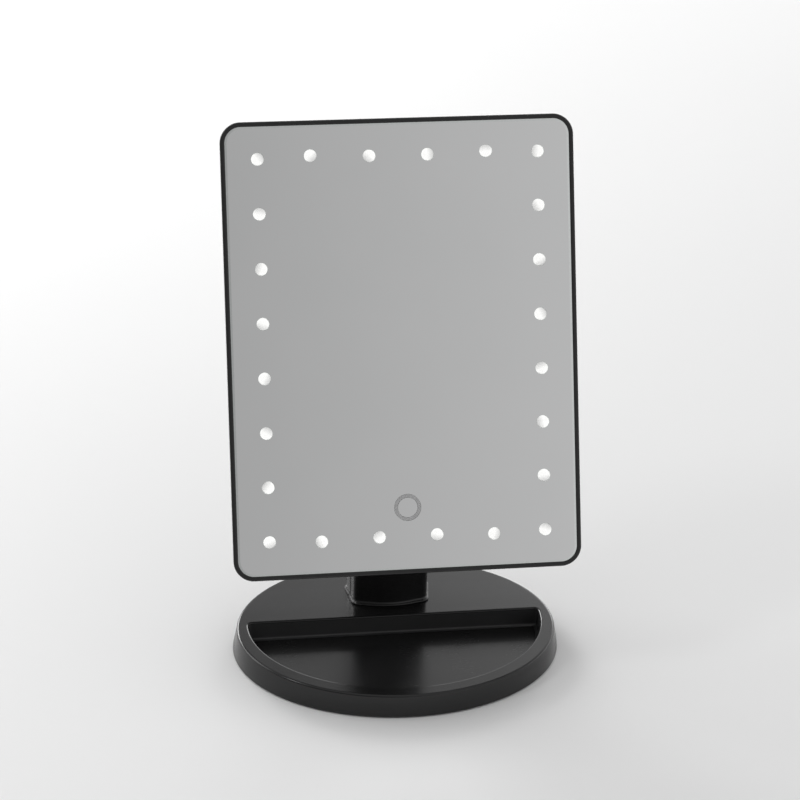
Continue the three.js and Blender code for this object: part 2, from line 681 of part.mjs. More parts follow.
function headGroup() {
  const group = new THREE.Group();
  group.position.set(0, HEAD.footY, HEAD.footZ);
  group.rotation.x = Math.PI / 2 - HEAD.lean;
  group.add(piece('head_frame', headFrame(), blackPlastic()));
  group.add(piece('mirror_glass', mirrorGlass(), silveredGlass()));
  group.add(piece('touch_ring', touchRing(), greyPrint()));
  lampCentres().forEach((centre, i) => {
    const number = String(i + 1).padStart(2, '0');
    group.add(piece(`lamp_lens_${number}`, lampLens(centre), opalPlastic()));
  });
  group.add(piece('lamp_board', lampBoard(), circuitBoard()));
  group.add(piece('control_board', controlBoard(), circuitBoard()));
  group.add(piece('back_shell', backShell(), blackPlastic()));
  group.add(piece('battery_cover', batteryCover(), blackPlastic()));
  for (let i = 0; i < BATTERY.count; i += 1) {
    group.add(piece(`battery_${i + 1}`, battery(i), batteryWrap()));
  }
  group.add(piece('battery_contact_lower', batteryContact(BAY.bottom + GAP, 1), nickelStrip()));
  group.add(piece('battery_contact_upper', batteryContact(BAY.top - GAP, -1), nickelStrip()));
  HEAD_SCREWS.forEach((place, i) => {
    group.add(piece(`head_screw_${i + 1}`, headScrew(place), zincSteel()));
  });
  group.add(piece('usb_socket', usbSocket(), nickelStrip()));
  group.add(piece('power_switch', powerSwitch(), blackPlastic()));
  return group;
}

const mirror = new THREE.Group();
mirror.add(baseGroup(), neckGroup(), hingeGroup(), headGroup());

export default mirror;
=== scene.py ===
import json
import math

import bmesh
import bpy
from mathutils import Matrix, Vector
from mathutils.geometry import tessellate_polygon


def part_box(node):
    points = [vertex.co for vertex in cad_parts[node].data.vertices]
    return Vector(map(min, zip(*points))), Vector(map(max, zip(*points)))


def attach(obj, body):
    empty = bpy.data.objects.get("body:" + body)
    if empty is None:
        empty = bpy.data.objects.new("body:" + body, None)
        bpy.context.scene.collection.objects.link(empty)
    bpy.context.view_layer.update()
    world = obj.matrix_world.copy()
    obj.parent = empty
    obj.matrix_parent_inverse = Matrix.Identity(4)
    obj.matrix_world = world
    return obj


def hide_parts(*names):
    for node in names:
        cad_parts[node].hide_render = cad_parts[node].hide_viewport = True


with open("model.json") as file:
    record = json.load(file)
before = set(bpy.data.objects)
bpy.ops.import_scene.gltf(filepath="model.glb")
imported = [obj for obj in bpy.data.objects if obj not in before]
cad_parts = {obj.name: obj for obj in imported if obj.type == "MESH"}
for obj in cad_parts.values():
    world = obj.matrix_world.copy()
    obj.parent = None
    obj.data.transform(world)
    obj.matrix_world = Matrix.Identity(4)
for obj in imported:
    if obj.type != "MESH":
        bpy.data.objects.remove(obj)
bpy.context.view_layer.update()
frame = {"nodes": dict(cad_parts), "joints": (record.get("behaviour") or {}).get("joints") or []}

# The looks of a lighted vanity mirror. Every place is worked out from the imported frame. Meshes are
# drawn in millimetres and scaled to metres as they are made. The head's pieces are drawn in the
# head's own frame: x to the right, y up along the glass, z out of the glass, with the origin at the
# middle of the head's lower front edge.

MM = 0.001  # metres in a millimetre
GAP = 0.3  # clearance that the CAD keeps between pieces that touch
THROUGH = 60  # half the length of a cutter that passes right through

# ---- driving sizes, in millimetres

class Sizes:
    """Sizes that belong together, each read by its name."""

    def __init__(self, **values):
        vars(self).update(values)


CAMERA = Sizes(
    elevation=math.radians(28.92), azimuth=math.radians(-9.08), roll=math.radians(2.0),
    distance=1350.5, aim=(-2.0, 0.0, 139.87), lens=127.8, sensor=36.0,
)

RING = 256  # points round an oval
BASE = Sizes(
    top_scale=0.978,  # the wall leans in towards the deck
    edge=1.3,  # rounding between wall and deck
    foot=0.5,  # rounding under the wall
    wall=2.4, cover_top=2.9, foam_soft=0.25,
)
TRAY = Sizes(
    depth=9.8, corner=2.5,
    arc_back=3.8,  # the arc's middle lies this far in front of the straight back
    rim=1.0, rim_steps=5, draft=0.5, floor_round=1.5, wall=2.0, floor=1.2,
)
NECK = Sizes(
    cad_flare=1.2, flare=0.95, flare_radius=1.9, lip=0.35, wall=2.4,
    spread=0.5,  # fuller than the CAD at the back
    narrowing=1.7,  # the sides draw in by this much towards the front
    bow=2.2, corner_guide=(0.45, 2.6), side_start=6.0, shoulder=0.72, rear_corner=4.0,
    slot_inset=2.7, tongue_inset=3.0, tongue_wall=2.0, tongue_bottom=3.0,
    knee=5.0,  # height above the deck where the foot's thick wall ends
    cavity_top=116.0,
    roof=0.05,  # the height over which the cavity closes
    step=0.02,  # the height over which the tongue widens to the foot
    crown=math.radians(86),  # the rounded top stops just short of a quarter turn
    seam_soft=0.25, boss=8.4, boss_soft=0.3,
)
HINGE = Sizes(
    bore=3.3, shank=3.0,
    thread=0.35,  # depth
    pitch=0.8,
    thread_start=3.0,  # before the nut
    point=0.7,  # how much thinner the bolt's end is
    nut_mouth=(0.35, 0.05, 0.4),  # play at the mouth, play inside, depth of the chamfer
    washer_soft=0.15,
)
HEAD = Sizes(
    corner=10.0, least_corner=1.2, corner_steps=20, lip=2.2, ledge=9.0, ledge_thickness=1.5,
    draft=1.5,
    front_step=0.15,  # the side stands in by this much where the front's rounding starts
    front_round=0.95, inner_round=0.3, back_step=0.3, back_round=4.0, wall=2.2, depth=15.0,
    post=2.9, post_sunk=0.5,
)
EAR = Sizes(
    sunk=1.0,  # its root lies this deep in the back
    guide=2.0,
    below=(18.5, 15.0),  # reach of its root and of the root's guide below the axis
    above=(14.5, 11.0), soft=0.6, shoulder=(0.18, 0.18),
)
GLASS = Sizes(
    bevel=1.0, bevel_depth=0.04, hole=2.98, hole_bevel=0.05,
    hole_turn=0.053,  # each hole's points start further round, so they don't line up
)
TOUCH = Sizes(inner=4.8, clearance=0.08, soft=0.12)
LENS = Sizes(
    radius=2.9, dome=0.8, dome_scale=0.985, tip=0.12, stem=2.4, skirt=4.6,
    collar=(1.2, 1.0),  # depths where the stem widens to the cap
    shoulder=((0.0, 0.12), (0.05, 0.03)),  # (step in, depth) below the dome
    stand=0.02,
    turn=(2.4, -1.2),  # radians from cap to cap, and the first one's start
)
BAY = Sizes(
    lid=2.0, wall=2.8, corner=3.0, skirt=1.6, edge=0.8, root=-8.6, floor=-9.8,
    foot=(1.2, 0.6),  # how deep the box's widening lies under the back
    rim_soft=0.3,
)
LID = Sizes(
    front_soft=(0.15, 0.2), ridges=5,
    ridge_start=16.0,  # below the lid's top
    ridge_pitch=2.4,
    ridge_foot=(9.0, 0.6, 0.5),  # half length, half width and corner
    ridge_top=(8.7, 0.35, 0.3), ridge_levels=(0.4, 0.05, -0.3),
    tab=(8.0, 1.0, 1.0),  # half width, overlap with the lid and corner
    tab_edge=0.05, tab_levels=(0.5, 0.8),
    inner=0.3,  # the tab ends and the hook starts this far inside the plate's front
    hook=(6.0, 2.6, 0.6),  # half width, height and corner
)
SWITCH = Sizes(
    dish=(3.4, 3.0, 1.2),  # half length, half width and corner of the finger hollow
    dish_floor=(2.9, 2.6, 1.0), dish_levels=(-1.0, 0.05, 0.45), slot=(1.8, 1.5, 0.4),
    slot_levels=(-1.0, 4.0), stem=(1.5, 1.2, 0.3), ridges=5, end=0.3, shoulder=0.5, groove=0.45,
    soft=0.2,
)
PORT = Sizes(
    play=0.3, cut_corner=1.2, cut_reach=(-12, 4), wall=0.45, corner=1.0, inner_corner=0.7,
    roll=0.15, lip=(0.12, 0.1), floor=1.0,
    tongue=(1.8, 0.35, 0.2),  # gap at each side, half thickness and corner
    tongue_tip=(2.0, 0.2, 0.1),
    tongue_levels=(0.9, 0.7),  # how far its end and tip stand behind the mouth
)
SCREW = Sizes(
    pan=((0.675, 0), (0.92, 0.35), (1, 0.8)),  # (share of the radius, depth) over the pan head
    head=2.7, head_height=1.4, shank=1.5,
    point=(1.2, 0.4),  # length and radius
    recess=3.1, recess_edge=0.5, recess_depth=2.0, hole=1.8, cross=(1.55, 0.38, 0.15),
    cross_floor=(0.5, 0.2, 0.1), cross_depth=1.1,
    turn=0.7,  # radians from screw to screw
)
WORLD = Sizes(
    backdrop_end=(0.544, 0.556),  # sines of the elevation where the bright backdrop ends
    behind_x=(0.06, 0.19), behind=(1.2, 1.8), above=(0.16, 0.56), front_x=(-0.1, 0.4),
    front=(0.25, 0.68), side_y=(-0.3, 0.3), ceiling_z=(0.6, 0.8), ceiling=0.6,
)
LIGHTS = {  # direction, distance, size in metres, radiance
    "low_left": ((-0.42, 0.82, 0.34), 1.7, (0.75, 0.65), 8.0),
    "low_right": ((0.42, 0.84, 0.33), 1.7, (0.45, 0.4), 4.5),
    "window": ((-0.73, 0.41, 0.55), 1.7, (0.9, 0.9), 2.3),
    "side_left": ((-0.66, -0.16, 0.69), 1.7, (0.3, 0.3), 7.5),
}
LIGHTS_AIM = Vector((0, 0, 0.05))  # metres


# ---- where things are

def box_mm(node):
    low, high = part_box(node)
    return low / MM, high / MM


def joint(name):
    return next(j for j in frame["joints"] if j["name"] == name)


def head_axes():
    """The head's up and out directions, from the line that the battery cover comes away along."""
    away = Vector(joint("battery_cover_release")["axis"]).normalized()
    out = -away
    up = out.cross(Vector((1, 0, 0)))
    return up, out


HEAD_UP, HEAD_OUT = head_axes()


def along(node, direction):
    """Lowest and highest reach of a CAD node along a direction, in millimetres."""
    reaches = [vertex.co.dot(direction) / MM for vertex in frame["nodes"][node].data.vertices]
    return min(reaches), max(reaches)


FOOT = HEAD_UP * along("head_frame", HEAD_UP)[0] + HEAD_OUT * along("head_frame", HEAD_OUT)[1]
HEAD_FRAME = Matrix((
    (1, HEAD_UP.x, HEAD_OUT.x, FOOT.x),
    (0, HEAD_UP.y, HEAD_OUT.y, FOOT.y),
    (0, HEAD_UP.z, HEAD_OUT.z, FOOT.z),
    (0, 0, 0, 1),
))


def head_box(node):
    """Lowest and highest corner of a CAD node in the head's own frame."""
    low = []
    high = []
    starts = (0, HEAD_UP.dot(FOOT), HEAD_OUT.dot(FOOT))
    for axis, start in zip((Vector((1, 0, 0)), HEAD_UP, HEAD_OUT), starts):
        reach = along(node, axis)
        low.append(reach[0] - start)
        high.append(reach[1] - start)
    return Vector(low), Vector(high)


def head_middle(node):
    """The middle of a CAD node in the head's own frame, as x and y."""
    low, high = head_box(node)
    return (low.x + high.x) / 2, (low.y + high.y) / 2


def level_box(node, height, near=0.02):
    """Lowest and highest corner of what a CAD node has at one height."""
    points = [v.co / MM for v in frame["nodes"][node].data.vertices if abs(v.co.z / MM - height) < near]
    low = Vector((min(p.x for p in points), min(p.y for p in points), height))
    high = Vector((max(p.x for p in points), max(p.y for p in points), height))
    return low, high


BASE_LOW, BASE_HIGH = box_mm("base_shell")
TRAY_LEVEL = BASE_HIGH.z - TRAY.depth
TRAY_LOW, TRAY_HIGH = level_box("base_shell", TRAY_LEVEL)
NECK_LOW = box_mm("neck_front_shell")[0]
NECK_HIGH = box_mm("neck_rear_shell")[1]
NECK_FOOT = BASE_HIGH.z + GAP
AXIS = Vector(joint("head_tilt")["pos_m"]) / MM
AXIS_Y, AXIS_Z = (HEAD_FRAME.inverted() @ AXIS).yz  # the hinge's axis in the head's own frame
NUT_LOW, NUT_HIGH = box_mm("hinge_nut")
HEAD_LOW, HEAD_HIGH = head_box("head_frame")
HEAD_BACK = -HEAD.depth
CASE_TOP = HEAD_LOW.z - GAP
GLASS_LOW, GLASS_HIGH = head_box("mirror_glass")
COVER_LOW, COVER_HIGH = head_box("battery_cover")
BAY_RIM = COVER_LOW.z + BAY.lid + GAP
BAY_TOP = COVER_LOW.y + 2 * (head_middle("battery_1")[1] - COVER_LOW.y)
SWITCH_X, SWITCH_Y = head_middle("power_switch")


# ---- outlines, as counterclockwise points

def arc(centre, radii, start, end, steps):
    """Points on an ellipse's arc, both ends included."""
    points = []
    for i in range(steps + 1):
        angle = start + (end - start) * i / steps
        points.append((centre[0] + radii[0] * math.cos(angle), centre[1] + radii[1] * math.sin(angle)))
    return points


def curve(a, b, c, steps):
    """Points on a quadratic curve, without its last one."""
    points = []
    for i in range(steps):
        t = i / steps
        points.append(tuple((1 - t) ** 2 * p + 2 * t * (1 - t) * q + t * t * r for p, q, r in zip(a, b, c)))
    return points


def straight(a, b, steps):
    """Points along a line, without its last one."""
    return [(a[0] + (b[0] - a[0]) * i / steps, a[1] + (b[1] - a[1]) * i / steps) for i in range(steps)]


def oval(half_length, half_depth):
    return arc((0, 0), (half_length, half_depth), 0, 2 * math.pi, RING)[:-1]


def circle(radius, count=48, centre=(0, 0), start=0):
    return arc(centre, (radius, radius), start, start + 2 * math.pi, count)[:-1]


def rounded(x0, x1, y0, y1, radius, steps=8):
    r = min(radius, (x1 - x0) / 2 - 0.01, (y1 - y0) / 2 - 0.01)
    quarter = math.pi / 2
    points = []
    corners = [(x1 - r, y0 + r), (x1 - r, y1 - r), (x0 + r, y1 - r), (x0 + r, y0 + r)]
    for i, centre in enumerate(corners):
        points += arc(centre, (r, r), (i - 1) * quarter, i * quarter, steps)
    return points


def bar(x, y, size, steps=8, travel=0):
    """A rounded rectangle about a point, from its half length, half width and corner.

    With travel, it reaches that much further to the right.
    """
    half_x, half_y, corner = size
    return rounded(x - half_x, x + travel + half_x, y - half_y, y + half_y, corner, steps)


def moved_out(points, distance):
    """An outline moved outwards, or inwards by a negative distance."""
    count = len(points)
    result = []
    for i, (x, y) in enumerate(points):
        before = points[i - 1]
        after = points[(i + 1) % count]
        tangent = Vector((after[0] - before[0], after[1] - before[1])).normalized()
        result.append((x + distance * tangent.y, y - distance * tangent.x))
    return result


def head_outline(inset):
    half = HEAD_HIGH.x - inset
    radius = max(HEAD.corner - inset, HEAD.least_corner)
    return rounded(-half, half, inset, HEAD_HIGH.y - inset, radius, HEAD.corner_steps)


def bay_outline(margin):
    """The battery lid's outline, grown by a margin."""
    half = COVER_HIGH.x + margin
    radius = BAY.corner + max(margin, -2)
    return rounded(-half, half, COVER_LOW.y - margin, BAY_TOP + margin, radius)


def quarter_turn(steps):
    """Pairs of cosine and sine from 0 to 90 degrees."""
    angles = [math.pi / 2 * i / steps for i in range(steps + 1)]
    return [(math.cos(angle), math.sin(angle)) for angle in angles]


def turned(profile, count=48, centre=(0, 0)):
    """Round levels from (radius, height) pairs."""
    return [(circle(radius, count, centre), height) for radius, height in profile]


def soft_levels(outline, low, high, *softening):
    """Levels of a straight solid whose rims step in by (inset, depth) pairs, from the ends inwards."""
    first = [(moved_out(outline, -inset), low + depth) for inset, depth in softening]
    last = [(moved_out(outline, -inset), high - depth) for inset, depth in reversed(softening)]
    return first + last


# ---- meshes

class Shape:
    """Rings of points joined into one closed surface."""

    def __init__(self):
        self.points = []
        self.faces = []
        self.smooth = []
        self.slots = []

    def face(self, corners, smooth, slot):
        self.faces.append(corners)
        self.smooth.append(smooth)
        self.slots.append(slot)

    def ring(self, outline, height):
        first = len(self.points)
        self.points += [(x, y, height) for x, y in outline]
        return list(range(first, len(self.points)))

    def rings(self, levels):
        return [self.ring(*level) for level in levels]

    def loft(self, rings, slot=0):
        """The surface that joins each ring to the next."""
        for a, b in zip(rings, rings[1:]):
            for i in range(len(a)):
                j = (i + 1) % len(a)
                self.face((a[i], a[j], b[j], b[i]), True, slot)

    def fill(self, *rings, slot=0):
        """A flat face inside the first ring, with the other rings as holes in it."""
        order = [i for ring in rings for i in ring]
        loops = [[Vector((self.points[i][0], self.points[i][1], 0)) for i in ring] for ring in rings]
        for triangle in tessellate_polygon(loops):
            self.face(tuple(order[i] for i in triangle), False, slot)

    def fan(self, ring):
        """A flat end made of triangles about the ring's middle."""
        middle = sum((Vector(self.points[i]) for i in ring), Vector()) / len(ring)
        centre = len(self.points)
        self.points.append(tuple(middle))
        for i, start in enumerate(ring):
            self.face((start, ring[(i + 1) % len(ring)], centre), False, 0)


def set_normals(mesh, smooth):
    """Outward faces, sharp edges where the surface turns a corner, and smooth or flat by face."""
    work = bmesh.new()
    work.from_mesh(mesh)
    bmesh.ops.recalc_face_normals(work, faces=work.faces)
    work.to_mesh(mesh)
    work.free()
    mesh.set_sharp_from_angle(angle=math.radians(38))
    mesh.polygons.foreach_set("use_smooth", smooth)


def squared_normals(mesh):
    """Flat faces that face straight along an axis stay flat, and the rest is smooth."""
    set_normals(mesh, [max(abs(c) for c in polygon.normal) < 0.99995 for polygon in mesh.polygons])
    return mesh


def mesh_of(shape):
    """A mesh in millimetres from a shape."""
    mesh = bpy.data.meshes.new("solid")
    mesh.from_pydata(shape.points, [], shape.faces)
    mesh.polygons.foreach_set("material_index", shape.slots)
    set_normals(mesh, shape.smooth)
    return mesh


def solid_of(levels):
    """A solid from (outline, height) pairs, closed flat at both ends."""
    shape = Shape()
    rings = shape.rings(levels)
    shape.fill(rings[0])
    shape.loft(rings)
    shape.fill(rings[-1])
    return mesh_of(shape)


def prism(outline, low, high):
    return solid_of([(outline, low), (outline, high)])


def tube_of(levels):
    """A solid with a hole through it: its last level joins back to its first."""
    shape = Shape()
    rings = shape.rings(levels)
    shape.loft(rings + rings[:1])
    return mesh_of(shape)


def placed(mesh, matrix):
    mesh.transform(matrix)
    return mesh


def in_scene(name, data):
    item = bpy.data.objects.new(name, data)
    bpy.context.scene.collection.objects.link(item)
    return item


def combined(mesh, operation, tools):
    """A mesh joined with, or cut by, other closed meshes."""
    target = in_scene("target", mesh)
    helpers = [target]
    for tool in tools:
        helper = in_scene("tool", tool)
        helpers.append(helper)
        step = target.modifiers.new("step", "BOOLEAN")
        step.operation = operation
        step.solver = "MANIFOLD"
        step.object = helper
    graph = bpy.context.evaluated_depsgraph_get()
    result = bpy.data.meshes.new_from_object(target.evaluated_get(graph))
    for helper in helpers:
        bpy.data.objects.remove(helper)
    result.materials.clear()
    return result


def finished(name, mesh, materials, matrix=Matrix.Identity(4)):
    """A mesh in millimetres, scaled to metres, with its name and materials."""
    mesh.name = name
    mesh.transform(Matrix.Scale(MM, 4) @ matrix)
    for material in materials:
        mesh.materials.append(material)
    return mesh


def piece(name, mesh, body, node, place=None):
    """A piece of the object from a finished mesh, in place of one CAD node."""
    item = in_scene(name, mesh)
    if place:
        place.translation *= MM
        item.matrix_world = place
    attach(item, body)
    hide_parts(node)
    return item


# ---- materials

MIX_SOCKETS = {"RGBA": (6, 7, 2), "FLOAT": (2, 3, 0)}  # first value, second value, result


class Tree:
    """Short ways to add shader nodes to a node tree."""

    def __init__(self, tree):
        self.tree = tree

    def feed(self, socket, value):
        """Link an output to a socket, or set a plain value on it. A colour's alpha is 1."""
        if isinstance(value, bpy.types.NodeSocket):
            self.tree.links.new(value, socket)
        elif socket.type == "RGBA":
            socket.default_value = (*value, 1)
        else:
            socket.default_value = value

    def add(self, kind, **inputs):
        node = self.tree.nodes.new(kind)
        for key, value in inputs.items():
            self.feed(node.inputs[key.replace("_", " ")], value)
        return node

    def spread(self, source, low, high, from_low=0.3, from_high=0.7):
        limits = {"From_Min": from_low, "From_Max": from_high, "To_Min": low, "To_Max": high}
        return self.add("ShaderNodeMapRange", Value=source, **limits).outputs["Result"]

    def blend(self, factor, first, second, kind="RGBA"):
        """Two colours mixed by a factor, or two plain values with the kind FLOAT."""
        node = self.add("ShaderNodeMix")
        node.data_type = kind
        first_at, second_at, result_at = MIX_SOCKETS[kind]
        for at, value in ((0, factor), (first_at, first), (second_at, second)):
            self.feed(node.inputs[at], value)
        return node.outputs[result_at]

    def sum(self, first, second, kind="ADD"):
        node = self.add("ShaderNodeMath")
        node.operation = kind
        self.feed(node.inputs[0], first)
        self.feed(node.inputs[1], second)
        return node.outputs[0]


class Nodes(Tree):
    """The node tree of one new material."""

    def __init__(self, name, **values):
        self.material = bpy.data.materials.new(name)
        self.material.use_nodes = True
        super().__init__(self.material.node_tree)
        self.shader = self.tree.nodes["Principled BSDF"]
        self.coords = self.add("ShaderNodeTexCoord").outputs["Object"]
        for key, value in values.items():
            self.set(key, value)

    def set(self, key, value):
        self.feed(self.shader.inputs[key.replace("_", " ")], value)

    def noise(self, per_mm, detail, stretch=(1, 1, 1)):
        """Noise with a number of features per millimetre."""
        mapping = self.add("ShaderNodeMapping", Vector=self.coords, Scale=stretch)
        source = mapping.outputs["Vector"]
        node = self.add("ShaderNodeTexNoise", Vector=source, Scale=per_mm / MM, Detail=detail)
        return node.outputs["Fac"]

    def reach(self, axis):
        """How far a point lies along one of the object's own axes, in metres."""
        return self.add("ShaderNodeSeparateXYZ", Vector=self.coords).outputs[axis]

    def worn_edges(self):
        """Where the surface bends outwards: 0 on flats, 1 on sharp convex edges.

        The bend is known at corners and spread over the faces between them, so a long face whose
        corners are sharp can show a faint streak.
        """
        geometry = self.add("ShaderNodeNewGeometry")
        return self.spread(geometry.outputs["Pointiness"], 0, 1, 0.515, 0.56)

    def mottle(self, per_mm, detail, first, second):
        """Base colour that drifts between two shades."""
        self.set("Base_Color", self.blend(self.spread(self.noise(per_mm, detail), 0, 1), first, second))

    def roughness(self, per_mm, detail, *limits):
        """Roughness that drifts between two limits."""
        self.set("Roughness", self.spread(self.noise(per_mm, detail), *limits))

    def bump(self, height, depth_mm, strength=1.0):
        node = self.add("ShaderNodeBump", Height=height, Strength=strength, Distance=depth_mm * MM)
        self.set("Normal", node.outputs["Normal"])

    def grain(self, per_mm, detail, depth_mm):
        self.bump(self.noise(per_mm, detail), depth_mm)


def black_plastic(name, shade, rough, grain, depth, wear):
    """Moulded black plastic: faint clouding, hairline scuffs, slightly paler worn edges."""
    nodes = Nodes(name, IOR=1.48)
    cloud = nodes.spread(nodes.noise(0.03, 4), 0, 1)
    body = nodes.blend(cloud, (shade * 0.88,) * 3, (shade * 1.12, shade * 1.12, shade * 1.16))
    scuffs = nodes.noise(0.25, 6, stretch=(1, 9, 9))
    edge = nodes.sum(nodes.worn_edges(), nodes.spread(scuffs, 0, 1, 0.45, 0.65), "MULTIPLY")
    nodes.set("Base_Color", nodes.blend(edge, body, (shade * wear, shade * wear, shade * wear * 1.03)))
    handling = nodes.spread(nodes.noise(0.045, 5), *rough)
    nodes.set("Roughness", nodes.sum(handling, nodes.spread(scuffs, 0, 0.03, 0.55, 0.75)))
    nodes.bump(nodes.sum(nodes.noise(grain, 2), nodes.spread(scuffs, 0, 0.25)), depth)
    return nodes.material


def silvered_glass():
    nodes = Nodes("mirror_silver", Metallic=1.0)
    nodes.mottle(0.02, 4, (0.895, 0.9, 0.902), (0.915, 0.918, 0.92))
    nodes.roughness(0.06, 6, 0.008, 0.03, 0.45, 0.8)
    nodes.grain(0.012, 1, 0.004)
    return nodes.material


def ground_glass():
    """The bevelled and cut edges of the mirror plate."""
    nodes = Nodes("mirror_edge", Metallic=1.0)
    nodes.mottle(1.2, 4, (0.83, 0.86, 0.85), (0.9, 0.92, 0.915))
    nodes.roughness(0.4, 4, 0.08, 0.18)
    nodes.grain(2.5, 2, 0.002)
    return nodes.material


def frosted_print():
    nodes = Nodes("touch_frost", IOR=1.46)
    nodes.mottle(0.7, 4, (0.45, 0.45, 0.453), (0.5, 0.5, 0.503))
    nodes.roughness(2.0, 3, 0.3, 0.45)
    nodes.grain(6.0, 2, 0.004)
    return nodes.material


def lit_opal():
    """An opal cap over a small chip that sits a little off its middle, so one side is dimmer."""
    nodes = Nodes("lamp_opal_lit", IOR=1.49, Emission_Strength=1.0)
    off_middle = 0.3 * MM
    wobble = nodes.spread(nodes.noise(0.5, 3), -off_middle, off_middle)
    dimmer = nodes.spread(nodes.sum(nodes.reach("X"), wobble), 0, 1, -off_middle, LENS.radius * MM)
    nodes.set("Emission_Color", nodes.blend(dimmer, (0.56, 0.56, 0.552), (0.16, 0.16, 0.16)))
    nodes.mottle(0.8, 3, (0.72, 0.72, 0.71), (0.78, 0.78, 0.77))
    nodes.roughness(1.0, 3, 0.3, 0.42)
    nodes.grain(3.0, 2, 0.004)
    return nodes.material


def circuit_resist():
    nodes = Nodes("board_resist")
    tracks = nodes.spread(nodes.noise(0.18, 2), 0, 1, 0.49, 0.51)
    nodes.set("Base_Color", nodes.blend(tracks, (0.74, 0.76, 0.73), (0.66, 0.69, 0.66)))
    nodes.roughness(0.8, 3, 0.3, 0.5)
    nodes.bump(tracks, 0.03, 0.5)
    return nodes.material


def plated_steel(name, colour, rough, grain=1.5, stretch=(1, 1, 1), rust=0.0):
    """Plated or bare steel: fine lay, blotched plating and a few duller spots."""
    nodes = Nodes(name, Metallic=1.0)
    blotch = nodes.spread(nodes.noise(0.22, 5), 0, 1)
    base = nodes.blend(blotch, tuple(c * 0.78 for c in colour), colour)
    spots = nodes.spread(nodes.noise(0.5, 6), 0, rust, 0.6, 0.72)
    nodes.set("Base_Color", nodes.blend(spots, base, (0.09, 0.06, 0.045)))
    lay = nodes.noise(grain, 4, stretch)
    nodes.set("Roughness", nodes.sum(nodes.spread(lay, *rough), nodes.spread(blotch, 0, 0.05, 0, 1)))
    nodes.bump(lay, 0.006)
    return nodes.material


def printed_jacket():
    """A battery's sleeve: dark, with a copper band at its positive end and no lettering."""
    nodes = Nodes("battery_sleeve", Metallic=0.85)
    band = nodes.spread(nodes.reach("Z"), 0, 1, 34.9 * MM, 35.1 * MM)
    rubs = nodes.spread(nodes.noise(0.5, 6, (1, 1, 0.3)), 0, 1, 0.6, 0.7)
    paint = nodes.blend(band, (0.035, 0.05, 0.062), (0.42, 0.2, 0.09))
    nodes.set("Base_Color", nodes.blend(rubs, paint, (0.2, 0.2, 0.2)))
    nodes.roughness(0.4, 4, 0.2, 0.34)
    nodes.grain(1.5, 3, 0.004)
    return nodes.material


def closed_cell_foam():
    nodes = Nodes("foam_cells")
    pores = nodes.add("ShaderNodeTexVoronoi", Vector=nodes.coords, Scale=2.2 / MM)
    depth = nodes.spread(pores.outputs["Distance"], 0, 1, 0.0, 0.55)
    nodes.set("Base_Color", nodes.blend(depth, (0.03, 0.03, 0.031), (0.014, 0.014, 0.015)))
    nodes.roughness(1.0, 3, 0.85, 0.97)
    nodes.bump(depth, 0.12, 0.8)
    return nodes.material


def natural_nylon():
    nodes = Nodes("nylon_natural", Subsurface_Weight=0.15)
    nodes.mottle(0.3, 4, (0.62, 0.6, 0.53), (0.74, 0.72, 0.66))
    nodes.roughness(0.8, 3, 0.35, 0.5)
    nodes.grain(2.5, 2, 0.006)
    return nodes.material


GLOSS = black_plastic("plastic_gloss", 0.0085, (0.15, 0.21), grain=2.2, depth=0.0012, wear=2.4)
# The tray wall is the same moulded plastic as the deck, given a paler shade: painted light that stands in
# for the light the wall reflects.
GLOSS_WALL_PAINTED_LIGHT = black_plastic("plastic_tray_wall_painted_light", 0.035, (0.16, 0.22), grain=2.2, depth=0.0012, wear=1.6)
GLOSS_FLOOR = black_plastic("plastic_tray_floor", 0.0085, (0.22, 0.27), grain=1.6, depth=0.0012, wear=1.6)
SATIN = black_plastic("plastic_satin", 0.0125, (0.26, 0.38), grain=1.8, depth=0.008, wear=2.2)
SILVER = silvered_glass()
GLASS_EDGE = ground_glass()
FROST = frosted_print()
OPAL = lit_opal()
RESIST = circuit_resist()
ZINC = plated_steel("steel_zinc", (0.56, 0.57, 0.6), (0.22, 0.36))
BALLAST = plated_steel("steel_ballast", (0.34, 0.34, 0.35), (0.35, 0.5), 0.6, (1, 12, 12), rust=0.5)
NICKEL = plated_steel("nickel_plate", (0.66, 0.64, 0.59), (0.16, 0.28))
SLEEVE = printed_jacket()
FOAM = closed_cell_foam()
NYLON = natural_nylon()

# ---- base

def tray_outline():
    """The tray's D shape at its rim: a straight back, rounded corners and one long arc."""
    half = TRAY_HIGH.x
    back = TRAY_HIGH.y
    middle = back - TRAY.arc_back
    reach = middle - TRAY_LOW.y
    corner = TRAY.corner
    start = math.asin((back - corner - middle) / reach)
    front = arc((0, middle), (half, reach), math.pi - start, 2 * math.pi + start, 200)
    end_x = half * math.cos(start)
    right = curve(front[-1], (end_x, back), (end_x - corner, back), 10)
    left = curve((corner - end_x, back), (-end_x, back), front[0], 10)
    return front + right[1:] + [(end_x - corner, back)] + left


def base_levels():
    """The outside of the base from its underside to its deck, as (outline, height) pairs."""
    top = BASE.top_scale
    foot = BASE.foot
    edge = BASE.edge
    outline = oval(BASE_HIGH.x, BASE_HIGH.y)
    deck_outline = oval(BASE_HIGH.x * top, BASE_HIGH.y * top)
    levels = []
    for c, s in quarter_turn(4):
        levels.append((moved_out(outline, -foot * (1 - s)), BASE_LOW.z + foot * (1 - c)))
    for c, s in quarter_turn(8):
        levels.append((moved_out(deck_outline, -edge * (1 - c)), BASE_HIGH.z - edge * (1 - s)))
    return levels


def tray_levels():
    """The tray's inside from its rim to its floor."""
    outline = tray_outline()
    rim = TRAY.rim
    bend = TRAY.floor_round
    levels = []
    for c, s in quarter_turn(TRAY.rim_steps):
        levels.append((moved_out(outline, rim * (1 - s)), BASE_HIGH.z - rim * (1 - c)))
    for c, s in quarter_turn(7):
        inward = TRAY.draft + bend * (1 - c)
        levels.append((moved_out(outline, -inward), TRAY_LEVEL + bend * (1 - s)))
    return levels


